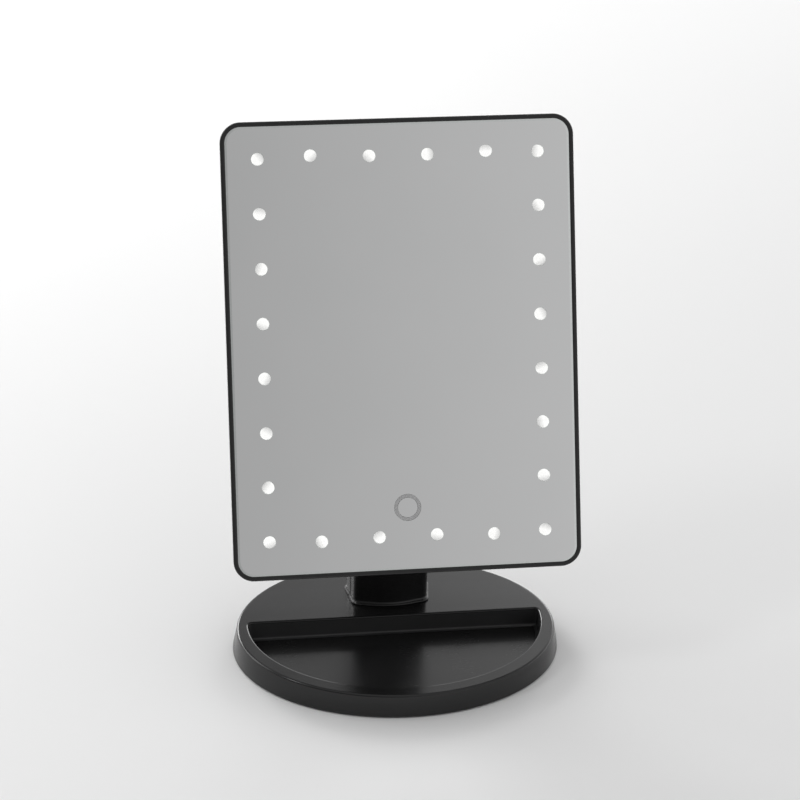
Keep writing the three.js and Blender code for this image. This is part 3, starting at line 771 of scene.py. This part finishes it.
def base_body():
    """One moulding: wall, deck, tray and neck slot outside, and an open hollow under them."""
    shape = Shape()
    outer = shape.rings(base_levels())
    tray = shape.rings(tray_levels())
    slot_loop = neck_loop(NECK.slot_inset)
    wall = BASE.wall
    inner_top = BASE_HIGH.z - wall
    slot = shape.rings([(slot_loop, BASE_HIGH.z), (slot_loop, inner_top)])
    shape.loft(outer)
    shape.fill(outer[-1], tray[0], slot[0])
    shape.loft(tray[:TRAY.rim_steps + 1])
    # The wall and its rounding into the floor take the paler plastic, which is painted light on the wall.
    shape.loft(tray[TRAY.rim_steps:], slot=1)
    shape.fill(tray[-1], slot=2)
    shape.loft(slot)
    low_oval = oval(BASE_HIGH.x - wall, BASE_HIGH.y - wall)
    high_oval = oval(BASE_HIGH.x * BASE.top_scale - wall, BASE_HIGH.y * BASE.top_scale - wall)
    inner = shape.rings([(low_oval, BASE_LOW.z), (low_oval, BASE.cover_top), (high_oval, inner_top)])
    block_outline = moved_out(tray_outline(), TRAY.wall)
    block = shape.rings([(block_outline, inner_top), (block_outline, TRAY_LEVEL - TRAY.floor)])
    shape.loft([outer[0], inner[0]])
    shape.loft(inner)
    shape.fill(inner[-1], block[0], slot[1])
    shape.loft(block)
    shape.fill(block[-1])
    mesh = finished("base_body", mesh_of(shape), [GLOSS, GLOSS_WALL_PAINTED_LIGHT, GLOSS_FLOOR])
    piece("base_body", mesh, "base", "base_shell")


def base_foam():
    low, high = box_mm("base_pad")
    soft = BASE.foam_soft
    levels = soft_levels(oval(high.x, high.y), low.z, high.z, (soft, 0), (0, soft))
    mesh = finished("base_foam", solid_of(levels), [FOAM])
    foam = piece("base_foam", mesh, "base", "base_pad")


# ---- neck

ALONG_X = Matrix(((0, 0, 1, 0), (1, 0, 0, 0), (0, 1, 0, 0), (0, 0, 0, 1)))  # up becomes x
TIPPED = Matrix.Rotation(math.pi / 2, 4, "X")  # y becomes z, and z becomes -y


def neck_plan(inset):
    """The neck seen from above as a front half and a rear half, each from the left to the right."""
    rear_x = NECK_HIGH.x - NECK.cad_flare + NECK.spread - inset
    front_x = rear_x - NECK.narrowing
    front = NECK_LOW.y + NECK.cad_flare + inset
    rear = NECK_HIGH.y - NECK.cad_flare - inset
    shoulder = NECK.shoulder * front_x
    near = front + NECK.bow
    round_rear = max(NECK.rear_corner - inset, 1)
    side = front + NECK.side_start
    turn = rear - round_rear
    guide_x = front_x - NECK.corner_guide[0]
    guide_y = front + NECK.corner_guide[1]
    middle_x = front_x + (rear_x - front_x) * (AXIS.y - side) / (turn - side)
    front_half = straight((-middle_x, AXIS.y), (-front_x, side), 5)
    front_half += curve((-front_x, side), (-guide_x, guide_y), (-shoulder, near), 14)
    front_half += curve((-shoulder, near), (0, front - NECK.bow), (shoulder, near), 24)
    front_half += curve((shoulder, near), (guide_x, guide_y), (front_x, side), 14)
    front_half += straight((front_x, side), (middle_x, AXIS.y), 5) + [(middle_x, AXIS.y)]
    rear_half = straight((-middle_x, AXIS.y), (-rear_x, turn), 6)
    rear_half += curve((-rear_x, turn), (-rear_x, rear), (round_rear - rear_x, rear), 12)
    rear_half += straight((round_rear - rear_x, rear), (rear_x - round_rear, rear), 12)
    rear_half += curve((rear_x - round_rear, rear), (rear_x, rear), (rear_x, turn), 12)
    rear_half += straight((rear_x, turn), (middle_x, AXIS.y), 6) + [(middle_x, AXIS.y)]
    return front_half, rear_half


def neck_loop(inset):
    front_half, rear_half = neck_plan(inset)
    return front_half + rear_half[-2:0:-1]


def neck_level(half_index, inset, inner_inset, height, squeeze=1.0):
    """One level of a neck half: its outer face, then its inner face back to the start.

    Without an inner inset the inner points lie on the parting plane, so the level is solid.
    """
    sign = 1 if half_index else -1
    seam = AXIS.y + sign * GAP / 2
    soft = NECK.seam_soft
    outer = neck_plan(inset)[half_index]
    inner = neck_plan(inner_inset or NECK.wall)[half_index]
    left, right = outer[0][0], outer[-1][0]
    face = [(left + soft, seam), (left, seam + sign * soft)]
    face += [(x, seam + (y - seam) * squeeze) for x, y in outer[1:-1]]
    face += [(right, seam + sign * soft * squeeze), (right - soft, seam)]
    if inner_inset:
        back = [(inner[-1][0], seam)] + inner[-2:0:-1] + [(inner[0][0], seam)]
    else:
        last = len(inner) - 1
        back = [(inner[-1][0] + (inner[0][0] - inner[-1][0]) * i / last, seam) for i in range(last + 1)]
    loop = face + back
    return loop[::-1] if half_index else loop, height


def hinge_seat(half_index):
    """Half of the round boss that gives the washers flat seats on the neck's slanting sides."""
    start = -math.pi / 2 if half_index else math.pi / 2
    overlap = 0.01
    seam = AXIS.y + (GAP / 2 + overlap) * (1 if half_index else -1)
    outline = arc((seam, AXIS.z), (NECK.boss, NECK.boss), start, start + math.pi, 40)
    end = NECK_HIGH.x - NECK.cad_flare
    soft = NECK.boss_soft
    return placed(solid_of(soft_levels(outline, -end, end, (soft, 0), (0, soft))), ALONG_X)


def neck_levels(half_index):
    """A neck half from its tongue in the base up to its rounded top."""
    flare = NECK.flare_radius
    tongue = NECK.tongue_inset
    hollow = tongue + NECK.tongue_wall
    lip_top = NECK_FOOT + NECK.lip
    plan = [(tongue, hollow, NECK.tongue_bottom), (tongue, hollow, NECK_FOOT)]
    plan += [(-NECK.flare, hollow, NECK_FOOT + NECK.step), (-NECK.flare, hollow, lip_top)]
    for c, s in quarter_turn(8):
        spread = flare * (1 - s)
        if spread < NECK.flare:
            plan.append((-spread, hollow, lip_top + flare * (1 - c)))
    knee = NECK_FOOT + NECK.knee
    top = NECK.cavity_top
    stem_steps = 8
    plan += [(0, NECK.wall, knee + (top - knee) * step / stem_steps) for step in range(stem_steps + 1)]
    plan.append((0, None, top + NECK.roof))
    reach = NECK_HIGH.z - AXIS.z
    crown_steps = 18
    for step in range(crown_steps + 1):
        angle = NECK.crown * step / crown_steps
        plan.append((0, None, AXIS.z + reach * math.sin(angle), math.cos(angle)))
    return [neck_level(half_index, *row) for row in plan]


def neck_half(name, half_index, node):
    shape = Shape()
    rings = shape.rings(neck_levels(half_index))
    shape.fill(rings[0])
    shape.loft(rings)
    shape.fan(rings[-1])
    stem = combined(mesh_of(shape), "UNION", [hinge_seat(half_index)])
    bore = circle(HINGE.bore, centre=(AXIS.y, AXIS.z))
    stem = combined(stem, "DIFFERENCE", [placed(prism(bore, -THROUGH, THROUGH), ALONG_X)])
    piece(name, finished(name, squared_normals(stem), [GLOSS]), "base", node)


# ---- hinge

HEX_CORNER = max(NUT_HIGH.z - NUT_LOW.z, NUT_HIGH.y - NUT_LOW.y) / 2
HEX_FLAT = HEX_CORNER * math.cos(math.pi / 6)
HEX_CHAMFER = HEX_CORNER - HEX_FLAT
ROUND = 72  # points round a hinge part


def hexagon(limit=HEX_CORNER):
    """The bolt head's outline, cut off at a greatest radius."""
    points = []
    for i in range(ROUND):
        angle = 2 * math.pi * i / ROUND
        side = (angle + math.pi / 6) % (math.pi / 3) - math.pi / 6
        radius = min(HEX_FLAT / math.cos(side), limit)
        points.append((radius * math.cos(angle), radius * math.sin(angle)))
    return points


def hinge_piece(name, mesh, material, node):
    """A piece drawn upwards, laid along the hinge's axis."""
    laid = placed(mesh, Matrix.Translation(Vector((0, AXIS.y, AXIS.z))) @ ALONG_X)
    piece(name, finished(name, laid, [material]), "base", node)


def hinge_bolt():
    low, high = box_mm("hinge_bolt")
    shank = HINGE.shank
    pitch = HINGE.pitch
    head_end = -NUT_LOW.x
    levels = [(hexagon(HEX_FLAT * 0.96), low.x), (hexagon(), low.x + HEX_CHAMFER * 0.6)]
    levels.append((hexagon(), head_end))
    thread_start = NUT_LOW.x - HINGE.thread_start
    profile = [(shank, head_end), (shank, thread_start)]
    for turn in range(int((high.x - thread_start - pitch) / pitch)):
        at = thread_start + turn * pitch
        profile += [(shank - HINGE.thread, at + pitch / 2), (shank, at + pitch)]
    profile.append((shank - HINGE.point, high.x))
    mesh = solid_of(levels + turned(profile, ROUND))
    hinge_piece("hinge_bolt_turned", mesh, ZINC, "hinge_bolt")


def hinge_nut():
    chamfer = HEX_CHAMFER * 0.5
    levels = [(hexagon(HEX_FLAT * 0.97), NUT_LOW.x), (hexagon(), NUT_LOW.x + chamfer)]
    levels += [(hexagon(), NUT_HIGH.x - chamfer), (hexagon(HEX_FLAT * 0.97), NUT_HIGH.x)]
    mouth, play, depth = HINGE.nut_mouth
    mouth += HINGE.shank
    bore = play + HINGE.shank
    levels += turned([(mouth, NUT_HIGH.x), (bore, NUT_HIGH.x - depth)], ROUND)
    levels += turned([(bore, NUT_LOW.x + depth), (mouth, NUT_LOW.x)], ROUND)
    hinge_piece("hinge_nut_cut", tube_of(levels), ZINC, "hinge_nut")


def hinge_washer(side):
    node = f"friction_washer_{side}"
    low, high = box_mm(node)
    radius = (high.z - low.z) / 2
    soft = HINGE.washer_soft
    bore = HINGE.bore
    profile = [(radius - soft, low.x), (radius, low.x + soft), (radius, high.x - soft)]
    profile += [(radius - soft, high.x), (bore + soft, high.x), (bore, high.x - soft)]
    profile += [(bore, low.x + soft), (bore + soft, low.x)]
    hinge_piece(f"hinge_washer_{side}", tube_of(turned(profile, ROUND)), NYLON, node)


# ---- head, front

def head_piece(name, mesh, materials, node, body="head"):
    """A piece drawn in the head's own frame."""
    return piece(name, finished(name, mesh, materials, HEAD_FRAME), body, node)


def head_rim():
    """The thin frame round the glass: one profile carried round the rounded rectangle."""
    back = HEAD_LOW.z
    seat = GLASS_LOW.z - GAP
    front = HEAD.front_round
    inner = HEAD.inner_round
    lip = HEAD.lip
    pocket = HEAD.wall + HEAD.draft
    profile = [(HEAD.draft, back), (HEAD.draft / 2, back / 2)]
    for c, s in quarter_turn(8):
        profile.append((front * (1 - c) + HEAD.front_step * (1 - s), -front * (1 - s)))
    for c, s in quarter_turn(5):
        profile.append((lip - inner * (1 - s), -inner * (1 - c)))
    under = seat - HEAD.ledge_thickness
    profile += [(lip, seat), (HEAD.ledge, seat), (HEAD.ledge, under), (pocket, under), (pocket, back)]
    mesh = tube_of([(head_outline(inset), height) for inset, height in profile])
    head_piece("head_rim", mesh, [SATIN], "head_frame")


def lamp_places():
    """The lamps' middles in the head's own frame, by node."""
    return {name: head_middle(name) for name in sorted(frame["nodes"]) if name.startswith("lamp_lens_")}


def mirror_plate():
    """The silvered plate: bevelled edge, a drilled hole for each lamp and a groove for the touch mark."""
    shape = Shape()
    front = GLASS_HIGH.z
    back = GLASS_LOW.z
    inset = HEAD_HIGH.x - GLASS_HIGH.x
    edge = head_outline(inset)
    face = head_outline(inset + GLASS.bevel)
    edges = shape.rings([(edge, back), (edge, front - GLASS.bevel_depth), (face, front)])
    shape.loft(edges, slot=1)
    holes = []
    for i, centre in enumerate(lamp_places().values()):
        start = i * GLASS.hole_turn
        wide = circle(GLASS.hole + GLASS.hole_bevel, centre=centre, start=start)
        narrow = circle(GLASS.hole, centre=centre, start=start)
        rings = shape.rings([(wide, front), (narrow, front - GLASS.hole_bevel), (narrow, back)])
        shape.loft(rings, slot=1)
        holes.append(rings)
    ring_low, ring_high = head_box("touch_ring")
    outer = ring_high.x + TOUCH.clearance
    inner = TOUCH.inner - TOUCH.clearance
    bottom = ring_low.z - GAP
    profile = [(outer, front), (outer, bottom), (inner, bottom), (inner, front)]
    groove = shape.rings(turned(profile, 96, (0, head_middle("touch_ring")[1])))
    shape.loft(groove, slot=1)
    shape.fill(edges[-1], *[rings[0] for rings in holes], groove[0])
    shape.fill(groove[-1])
    shape.fill(edges[0], *[rings[-1] for rings in holes])
    head_piece("mirror_plate", mesh_of(shape), [SILVER, GLASS_EDGE], "mirror_glass")


def touch_mark():
    low, high = head_box("touch_ring")
    outer = high.x
    inner = TOUCH.inner
    soft = TOUCH.soft
    profile = [(outer, low.z), (outer, high.z - soft), (outer - soft, high.z)]
    profile += [(inner + soft, high.z), (inner, high.z - soft), (inner, low.z)]
    mesh = tube_of(turned(profile, 96, (0, head_middle("touch_ring")[1])))
    head_piece("touch_mark", mesh, [FROST], "touch_ring")


def lens_mesh():
    """One opal cap about its own middle: a stepped stem and a low dome with a soft shoulder."""
    radius = LENS.radius
    widening, collar = LENS.collar
    profile = [(LENS.stem, -LENS.skirt), (LENS.stem, -widening), (radius, -collar)]
    profile += [(radius - step, -depth) for step, depth in LENS.shoulder]
    profile += [(radius * c * LENS.dome_scale, LENS.dome * s) for c, s in quarter_turn(10)[:-1]]
    return solid_of(turned(profile + [(LENS.tip, LENS.dome)]))


def lamp_caps():
    mesh = finished("lamp_cap", lens_mesh(), [OPAL])
    step, start = LENS.turn
    for i, (node, (x, y)) in enumerate(lamp_places().items()):
        spot = Matrix.Translation(Vector((x, y, GLASS_HIGH.z + LENS.stand)))
        place = HEAD_FRAME @ spot @ Matrix.Rotation(step * i + start, 4, "Z")
        piece(f"lamp_cap_{i + 1:02d}", mesh, "head", node, place)


# ---- head, back

def ear(side):
    """A hinge ear with softened edges, on the left (-1) or the right (1)."""
    radius = AXIS_Z - head_box("back_shell")[0].z
    root = HEAD_BACK + EAR.sunk
    guide = EAR.guide
    low_root, low_guide = EAR.below
    high_root, high_guide = EAR.above
    start = (AXIS_Y - low_root, root)
    outline = curve(start, (AXIS_Y - low_guide, root - guide), (AXIS_Y - radius, AXIS_Z + guide), 8)
    outline += arc((AXIS_Y, AXIS_Z), (radius, radius), math.pi, 2 * math.pi, 28)
    end = (AXIS_Y + high_root, root)
    outline += curve((AXIS_Y + radius, AXIS_Z + guide), (AXIS_Y + high_guide, root - guide), end, 8)
    outline.append(end)
    inner = box_mm("friction_washer_right")[1].x + GAP
    low, high = sorted((side * inner, side * (NUT_LOW.x - GAP)))
    soft = EAR.soft
    levels = soft_levels(outline, low, high, (soft, 0), EAR.shoulder, (0, soft))
    return placed(solid_of(levels), ALONG_X)


def case_body():
    """The closed outer form of the back case: drafted side and a well-rounded back edge."""
    bend = HEAD.back_round
    side = HEAD.draft + HEAD.back_step
    levels = [(head_outline(HEAD.draft), CASE_TOP)]
    for c, s in quarter_turn(10):
        levels.append((head_outline(side + bend * (1 - c)), HEAD_BACK + bend * (1 - s)))
    return solid_of(levels)


def battery_box():
    """The raised box for the cells, with a concave skirt where it meets the back."""
    skirt = BAY.skirt
    upper, lower = BAY.foot
    levels = [(bay_outline(0), BAY.root), (bay_outline(0), HEAD_BACK + upper)]
    levels.append((bay_outline(skirt), HEAD_BACK + lower))
    for c, s in quarter_turn(7):
        levels.append((bay_outline(skirt * (1 - s)), HEAD_BACK - skirt * (1 - c)))
    soft = BAY.rim_soft
    levels += [(bay_outline(0), BAY_RIM + soft), (bay_outline(-soft), BAY_RIM)]
    return solid_of(levels)


def screw_cuts(centre):
    """The countersunk recess of one case screw and the hole through its post."""
    wide = SCREW.recess + SCREW.recess_edge
    profile = [(wide, -1), (wide, -0.001), (SCREW.recess, SCREW.recess_edge)]
    profile.append((SCREW.recess, SCREW.recess_depth))
    recess = solid_of(turned([(radius, HEAD_BACK + depth) for radius, depth in profile], centre=centre))
    return [recess, prism(circle(SCREW.hole, 32, centre), HEAD_BACK, 0)]


def switch_cuts():
    """The switch's dished finger hollow and the slot that its stem slides in."""
    travel = joint("power_switch_slide")["range_m"][1] / MM
    start, mouth, floor = [HEAD_BACK + level for level in SWITCH.dish_levels]
    dish = bar(SWITCH_X, SWITCH_Y, SWITCH.dish, travel=travel)
    dish_floor = bar(SWITCH_X, SWITCH_Y, SWITCH.dish_floor, travel=travel)
    slot = bar(SWITCH_X, SWITCH_Y, SWITCH.slot, travel=travel)
    low, high = [HEAD_BACK + level for level in SWITCH.slot_levels]
    return [solid_of([(dish, start), (dish, mouth), (dish_floor, floor)]), prism(slot, low, high)]


def port_cut():
    low, high = head_box("usb_socket")
    play = PORT.play
    outline = rounded(low.x - play, high.x + play, low.z - play, high.z + play, PORT.cut_corner)
    return placed(prism(outline, *PORT.cut_reach), TIPPED @ Matrix.Scale(-1, 4, (0, 0, 1)))


def back_case():
    centres = [head_middle(f"head_screw_{i}") for i in (1, 2, 3, 4)]
    inner = head_outline(HEAD.wall + HEAD.back_round)
    shell = combined(case_body(), "DIFFERENCE", [prism(inner, HEAD_BACK + HEAD.wall, 0)])
    shell = combined(shell, "UNION", [battery_box(), ear(-1), ear(1)])
    post_foot = HEAD_BACK + HEAD.post_sunk
    posts = [prism(circle(HEAD.post, 32, centre), post_foot, CASE_TOP) for centre in centres]
    shell = combined(shell, "UNION", posts)
    cuts = [prism(bay_outline(-BAY.wall), -THROUGH, BAY.floor)]
    for centre in centres:
        cuts += screw_cuts(centre)
    cuts += [*switch_cuts(), port_cut()]
    bore = circle(HINGE.bore, centre=(AXIS_Y, AXIS_Z))
    cuts.append(placed(prism(bore, -THROUGH, THROUGH), ALONG_X))
    shell = squared_normals(combined(shell, "DIFFERENCE", cuts))
    head_piece("back_case", shell, [SATIN], "back_shell")


def finger_ridge(y, back):
    high, low, tip = [back + level for level in LID.ridge_levels]
    foot = bar(0, y, LID.ridge_foot, 6)
    return solid_of([(foot, high), (foot, low), (bar(0, y, LID.ridge_top, 6), tip)])


def battery_lid():
    """The lid: soft-edged plate, a row of finger ridges, the latch tab at its top and its hook."""
    back = COVER_LOW.z
    front = BAY_RIM - GAP
    inset, depth = LID.front_soft
    edge = BAY.edge
    levels = [(bay_outline(-inset), front), (bay_outline(0), front - depth)]
    levels += [(bay_outline(-edge * (1 - c)), back + edge * (1 - s)) for c, s in quarter_turn(6)]
    ridges_start = BAY_TOP - LID.ridge_start
    extras = [finger_ridge(ridges_start + i * LID.ridge_pitch, back) for i in range(LID.ridges)]
    half, overlap, corner = LID.tab
    tab_end = rounded(-half, half, BAY_TOP - overlap, COVER_HIGH.y - LID.tab_edge, corner)
    tab = rounded(-half, half, BAY_TOP - overlap, COVER_HIGH.y, corner)
    outer, inner = LID.tab_levels
    extras.append(solid_of([(tab_end, back + outer), (tab, back + inner), (tab, front - LID.inner)]))
    half, height, corner = LID.hook
    under = BAY_TOP - BAY.wall
    hook = rounded(-half, half, under - height, under - GAP, corner)
    extras.append(prism(hook, front - LID.inner, COVER_HIGH.z))
    lid = squared_normals(combined(solid_of(levels), "UNION", extras))
    head_piece("battery_lid", lid, [SATIN], "battery_cover", "battery_cover")


def switch_knob():
    """A slide knob with five grip ridges, on a stem through the slot."""
    low, high = head_box("power_switch")
    half = (high.x - low.x) / 2
    depth = (high.y - low.y) / 2
    base_z = HEAD_BACK - GAP
    shoulder = low.z + SWITCH.shoulder
    grip_end = SWITCH_X + half - SWITCH.end
    pitch = 2 * (half - SWITCH.end) / SWITCH.ridges
    profile = [(SWITCH_X - half, base_z), (SWITCH_X + half, base_z), (SWITCH_X + half, shoulder)]
    for i in range(SWITCH.ridges):
        at = grip_end - i * pitch
        groove = (at - pitch * 0.75, low.z + SWITCH.groove)
        profile += [(at, low.z), (at - pitch * 0.5, low.z), groove]
    profile.append((SWITCH_X - half, shoulder))
    soft = SWITCH.soft
    levels = soft_levels(profile[::-1], -SWITCH_Y - depth, -SWITCH_Y + depth, (soft, 0), (0, soft))
    pad = placed(solid_of(levels), TIPPED)
    stem = prism(bar(SWITCH_X, SWITCH_Y, SWITCH.stem), base_z - 0.3, high.z)
    knob = squared_normals(combined(pad, "UNION", [stem]))
    head_piece("switch_knob", knob, [SATIN], "power_switch", "power_switch")


def usb_port():
    """The power socket: a thin rolled shell with its contact tongue."""
    low, high = head_box("usb_socket")
    mouth = -low.y
    back = -high.y
    wall = PORT.wall
    outer = rounded(low.x, high.x, low.z, high.z, PORT.corner)
    inner = rounded(low.x + wall, high.x - wall, low.z + wall, high.z - wall, PORT.inner_corner)
    levels = [(outer, back), (outer, mouth - PORT.roll), (moved_out(outer, -PORT.lip[0]), mouth)]
    levels += [(moved_out(inner, PORT.lip[1]), mouth), (inner, mouth - PORT.roll)]
    levels.append((inner, back + PORT.floor))
    middle_z = (low.z + high.z) / 2

    def tongue_outline(gap, half, corner):
        return rounded(low.x + gap, high.x - gap, middle_z - half, middle_z + half, corner)

    body = tongue_outline(*PORT.tongue)
    end, tip = PORT.tongue_levels
    tip_level = (tongue_outline(*PORT.tongue_tip), mouth - tip)
    tongue = solid_of([(body, back + PORT.floor / 2), (body, mouth - end), tip_level])
    socket = combined(solid_of(levels), "UNION", [tongue])
    squared_normals(placed(socket, TIPPED))
    head_piece("usb_port", socket, [NICKEL], "usb_socket")


def cross_screw():
    """A pan-head screw with a cross recess, about its own axis."""
    low, high = head_box("head_screw_1")
    head = SCREW.head
    shank = SCREW.shank
    seat = low.z + SCREW.head_height
    point, point_radius = SCREW.point
    profile = [(head * scale, low.z + depth) for scale, depth in SCREW.pan] + [(head, seat)]
    profile += [(shank, seat), (shank, high.z - point), (point_radius, high.z)]
    arms = []
    for turn in (0, math.pi / 2):
        mouth = bar(0, 0, SCREW.cross, 4)
        floor = (bar(0, 0, SCREW.cross_floor, 4), low.z + SCREW.cross_depth)
        arm = solid_of([(mouth, low.z - 1), (mouth, low.z), floor])
        arms.append(placed(arm, Matrix.Rotation(turn, 4, "Z")))
    return squared_normals(combined(solid_of(turned(profile)), "DIFFERENCE", arms))


def case_screws():
    screw = cross_screw()
    for i in (1, 2, 3, 4):
        node = f"head_screw_{i}"
        spot = Matrix.Translation(Vector((*head_middle(node), 0)))
        matrix = HEAD_FRAME @ spot @ Matrix.Rotation(SCREW.turn * i, 4, "Z")
        mesh = finished(f"case_screw_{i}", screw.copy(), [ZINC], matrix)
        piece(f"case_screw_{i}", mesh, "head", node)


def cell_mesh():
    """One cell standing on its flat end, with rolled crimps and a raised button."""
    low, high = head_box("battery_1")
    radius = (high.x - low.x) / 2
    length = high.y - low.y
    steel = [(radius - 2.2, 0), (radius - 1.0, 0.0), (radius - 0.5, 0.25)]
    sleeve = [(radius - 0.35, 0.3), (radius - 0.05, 0.6), (radius, 1.0), (radius, length - 3.4)]
    sleeve += [(radius - 0.05, length - 2.9), (radius - 0.5, length - 2.5)]
    top = [(radius - 0.9, length - 2.2), (3.2, length - 1.9), (2.8, length - 1.6)]
    top += [(2.75, length - 0.3), (2.5, length)]
    shape = Shape()
    rings = shape.rings(turned(steel + sleeve + top))
    first = len(steel) - 1
    last = first + len(sleeve) + 1
    shape.fill(rings[0], slot=1)
    shape.loft(rings[:first + 1], slot=1)
    shape.loft(rings[first:last])
    shape.loft(rings[last - 1:], slot=1)
    shape.fill(rings[-1], slot=1)
    return mesh_of(shape)


def cells():
    """The four cells, every second one upside down."""
    mesh = finished("cell", cell_mesh(), [SLEEVE, ZINC])
    for i in (1, 2, 3, 4):
        node = f"battery_{i}"
        low, high = head_box(node)
        turned_over = i % 2 == 0
        start = high.y if turned_over else low.y
        upright = Matrix.Rotation(math.pi / 2 if turned_over else -math.pi / 2, 4, "X")
        centre = Vector(((low.x + high.x) / 2, start, (low.z + high.z) / 2))
        place = HEAD_FRAME @ Matrix.Translation(centre) @ upright
        piece(f"cell_{i}", mesh, "head", node, place)


# ---- CAD nodes that stay

def finish_kept_nodes():
    kept = {
        "base_cover": GLOSS,
        "ballast_plate": BALLAST,
        "lamp_board": RESIST,
        "control_board": RESIST,
        "battery_contact_lower": NICKEL,
        "battery_contact_upper": NICKEL,
        "neck_screw_front": ZINC,
        "neck_screw_rear": ZINC,
        **{f"base_screw_{i}": ZINC for i in (1, 2, 3, 4)},
    }
    for name, material in kept.items():
        mesh = frame["nodes"][name].data
        mesh.materials.clear()
        mesh.materials.append(material)
        mesh.set_sharp_from_angle(angle=math.radians(30))


# ---- studio

def make_camera():
    """The camera, aimed at a point on the object from a distance, elevation and azimuth."""
    elevation = CAMERA.elevation
    azimuth = CAMERA.azimuth
    sideways = math.sin(azimuth) * math.cos(elevation)
    forwards = -math.cos(azimuth) * math.cos(elevation)
    back = Vector((sideways, forwards, math.sin(elevation)))
    place = (Vector(CAMERA.aim) + back * CAMERA.distance) * MM
    turn = back.to_track_quat("Z", "Y").to_matrix().to_4x4()
    camera = bpy.data.cameras.new("camera")
    camera.sensor_width = CAMERA.sensor
    camera.lens = CAMERA.lens
    item = in_scene("camera", camera)
    item.matrix_world = Matrix.Translation(place) @ turn @ Matrix.Rotation(CAMERA.roll, 4, "Z")
    bpy.context.scene.camera = item


def area_light(name, direction, distance, size, radiance):
    """A soft box in a direction from the base, facing it, that the camera doesn't see directly."""
    towards = Vector(direction).normalized()
    light = bpy.data.lights.new(name, "AREA")
    light.shape = "RECTANGLE"
    light.size, light.size_y = size
    light.energy = radiance * math.pi * size[0] * size[1]
    item = in_scene(name, light)
    item.location = LIGHTS_AIM + towards * distance
    item.rotation_euler = towards.to_track_quat("Z", "Y").to_euler()
    item.visible_camera = False


def studio_floor():
    nodes = Nodes("floor_paper", Specular_IOR_Level=0.2)
    nodes.mottle(0.002, 2, (0.8, 0.8, 0.8), (0.815, 0.815, 0.815))
    nodes.roughness(0.1, 2, 0.75, 0.85)
    mesh = finished("studio_floor", prism(circle(6000, 96), -20, -0.02), [nodes.material])
    in_scene("studio_floor", mesh)


def studio_world():
    """Soft surroundings by direction: bright low down behind the object, greyer above and in front."""
    world = bpy.data.worlds.new("studio")
    world.use_nodes = True
    nodes = Tree(world.node_tree)
    coords = nodes.add("ShaderNodeTexCoord").outputs["Generated"]
    direction = nodes.add("ShaderNodeSeparateXYZ", Vector=coords).outputs
    lower = nodes.spread(direction["X"], *WORLD.behind, *WORLD.behind_x)
    upper = nodes.spread(direction["X"], *WORLD.above, *WORLD.behind_x)
    behind = nodes.blend(nodes.spread(direction["Z"], 0, 1, *WORLD.backdrop_end), lower, upper, "FLOAT")
    front = nodes.spread(direction["X"], *WORLD.front, *WORLD.front_x)
    around = nodes.blend(nodes.spread(direction["Y"], 0, 1, *WORLD.side_y), front, behind, "FLOAT")
    overhead = nodes.spread(direction["Z"], 0, 1, *WORLD.ceiling_z)
    background = nodes.tree.nodes["Background"]
    nodes.feed(background.inputs["Strength"], nodes.blend(overhead, around, WORLD.ceiling, "FLOAT"))
    nodes.feed(background.inputs["Color"], (1, 1, 1))
    bpy.context.scene.world = world


make_camera()
studio_floor()
studio_world()
for light_name, light_settings in LIGHTS.items():
    area_light(light_name, *light_settings)
bpy.context.scene.view_settings.view_transform = "Standard"

base_body()
base_foam()
neck_half("neck_front", 0, "neck_front_shell")
neck_half("neck_rear", 1, "neck_rear_shell")
hinge_bolt()
hinge_nut()
hinge_washer("left")
hinge_washer("right")
head_rim()
mirror_plate()
touch_mark()
lamp_caps()
back_case()
battery_lid()
switch_knob()
usb_port()
case_screws()
cells()
finish_kept_nodes()
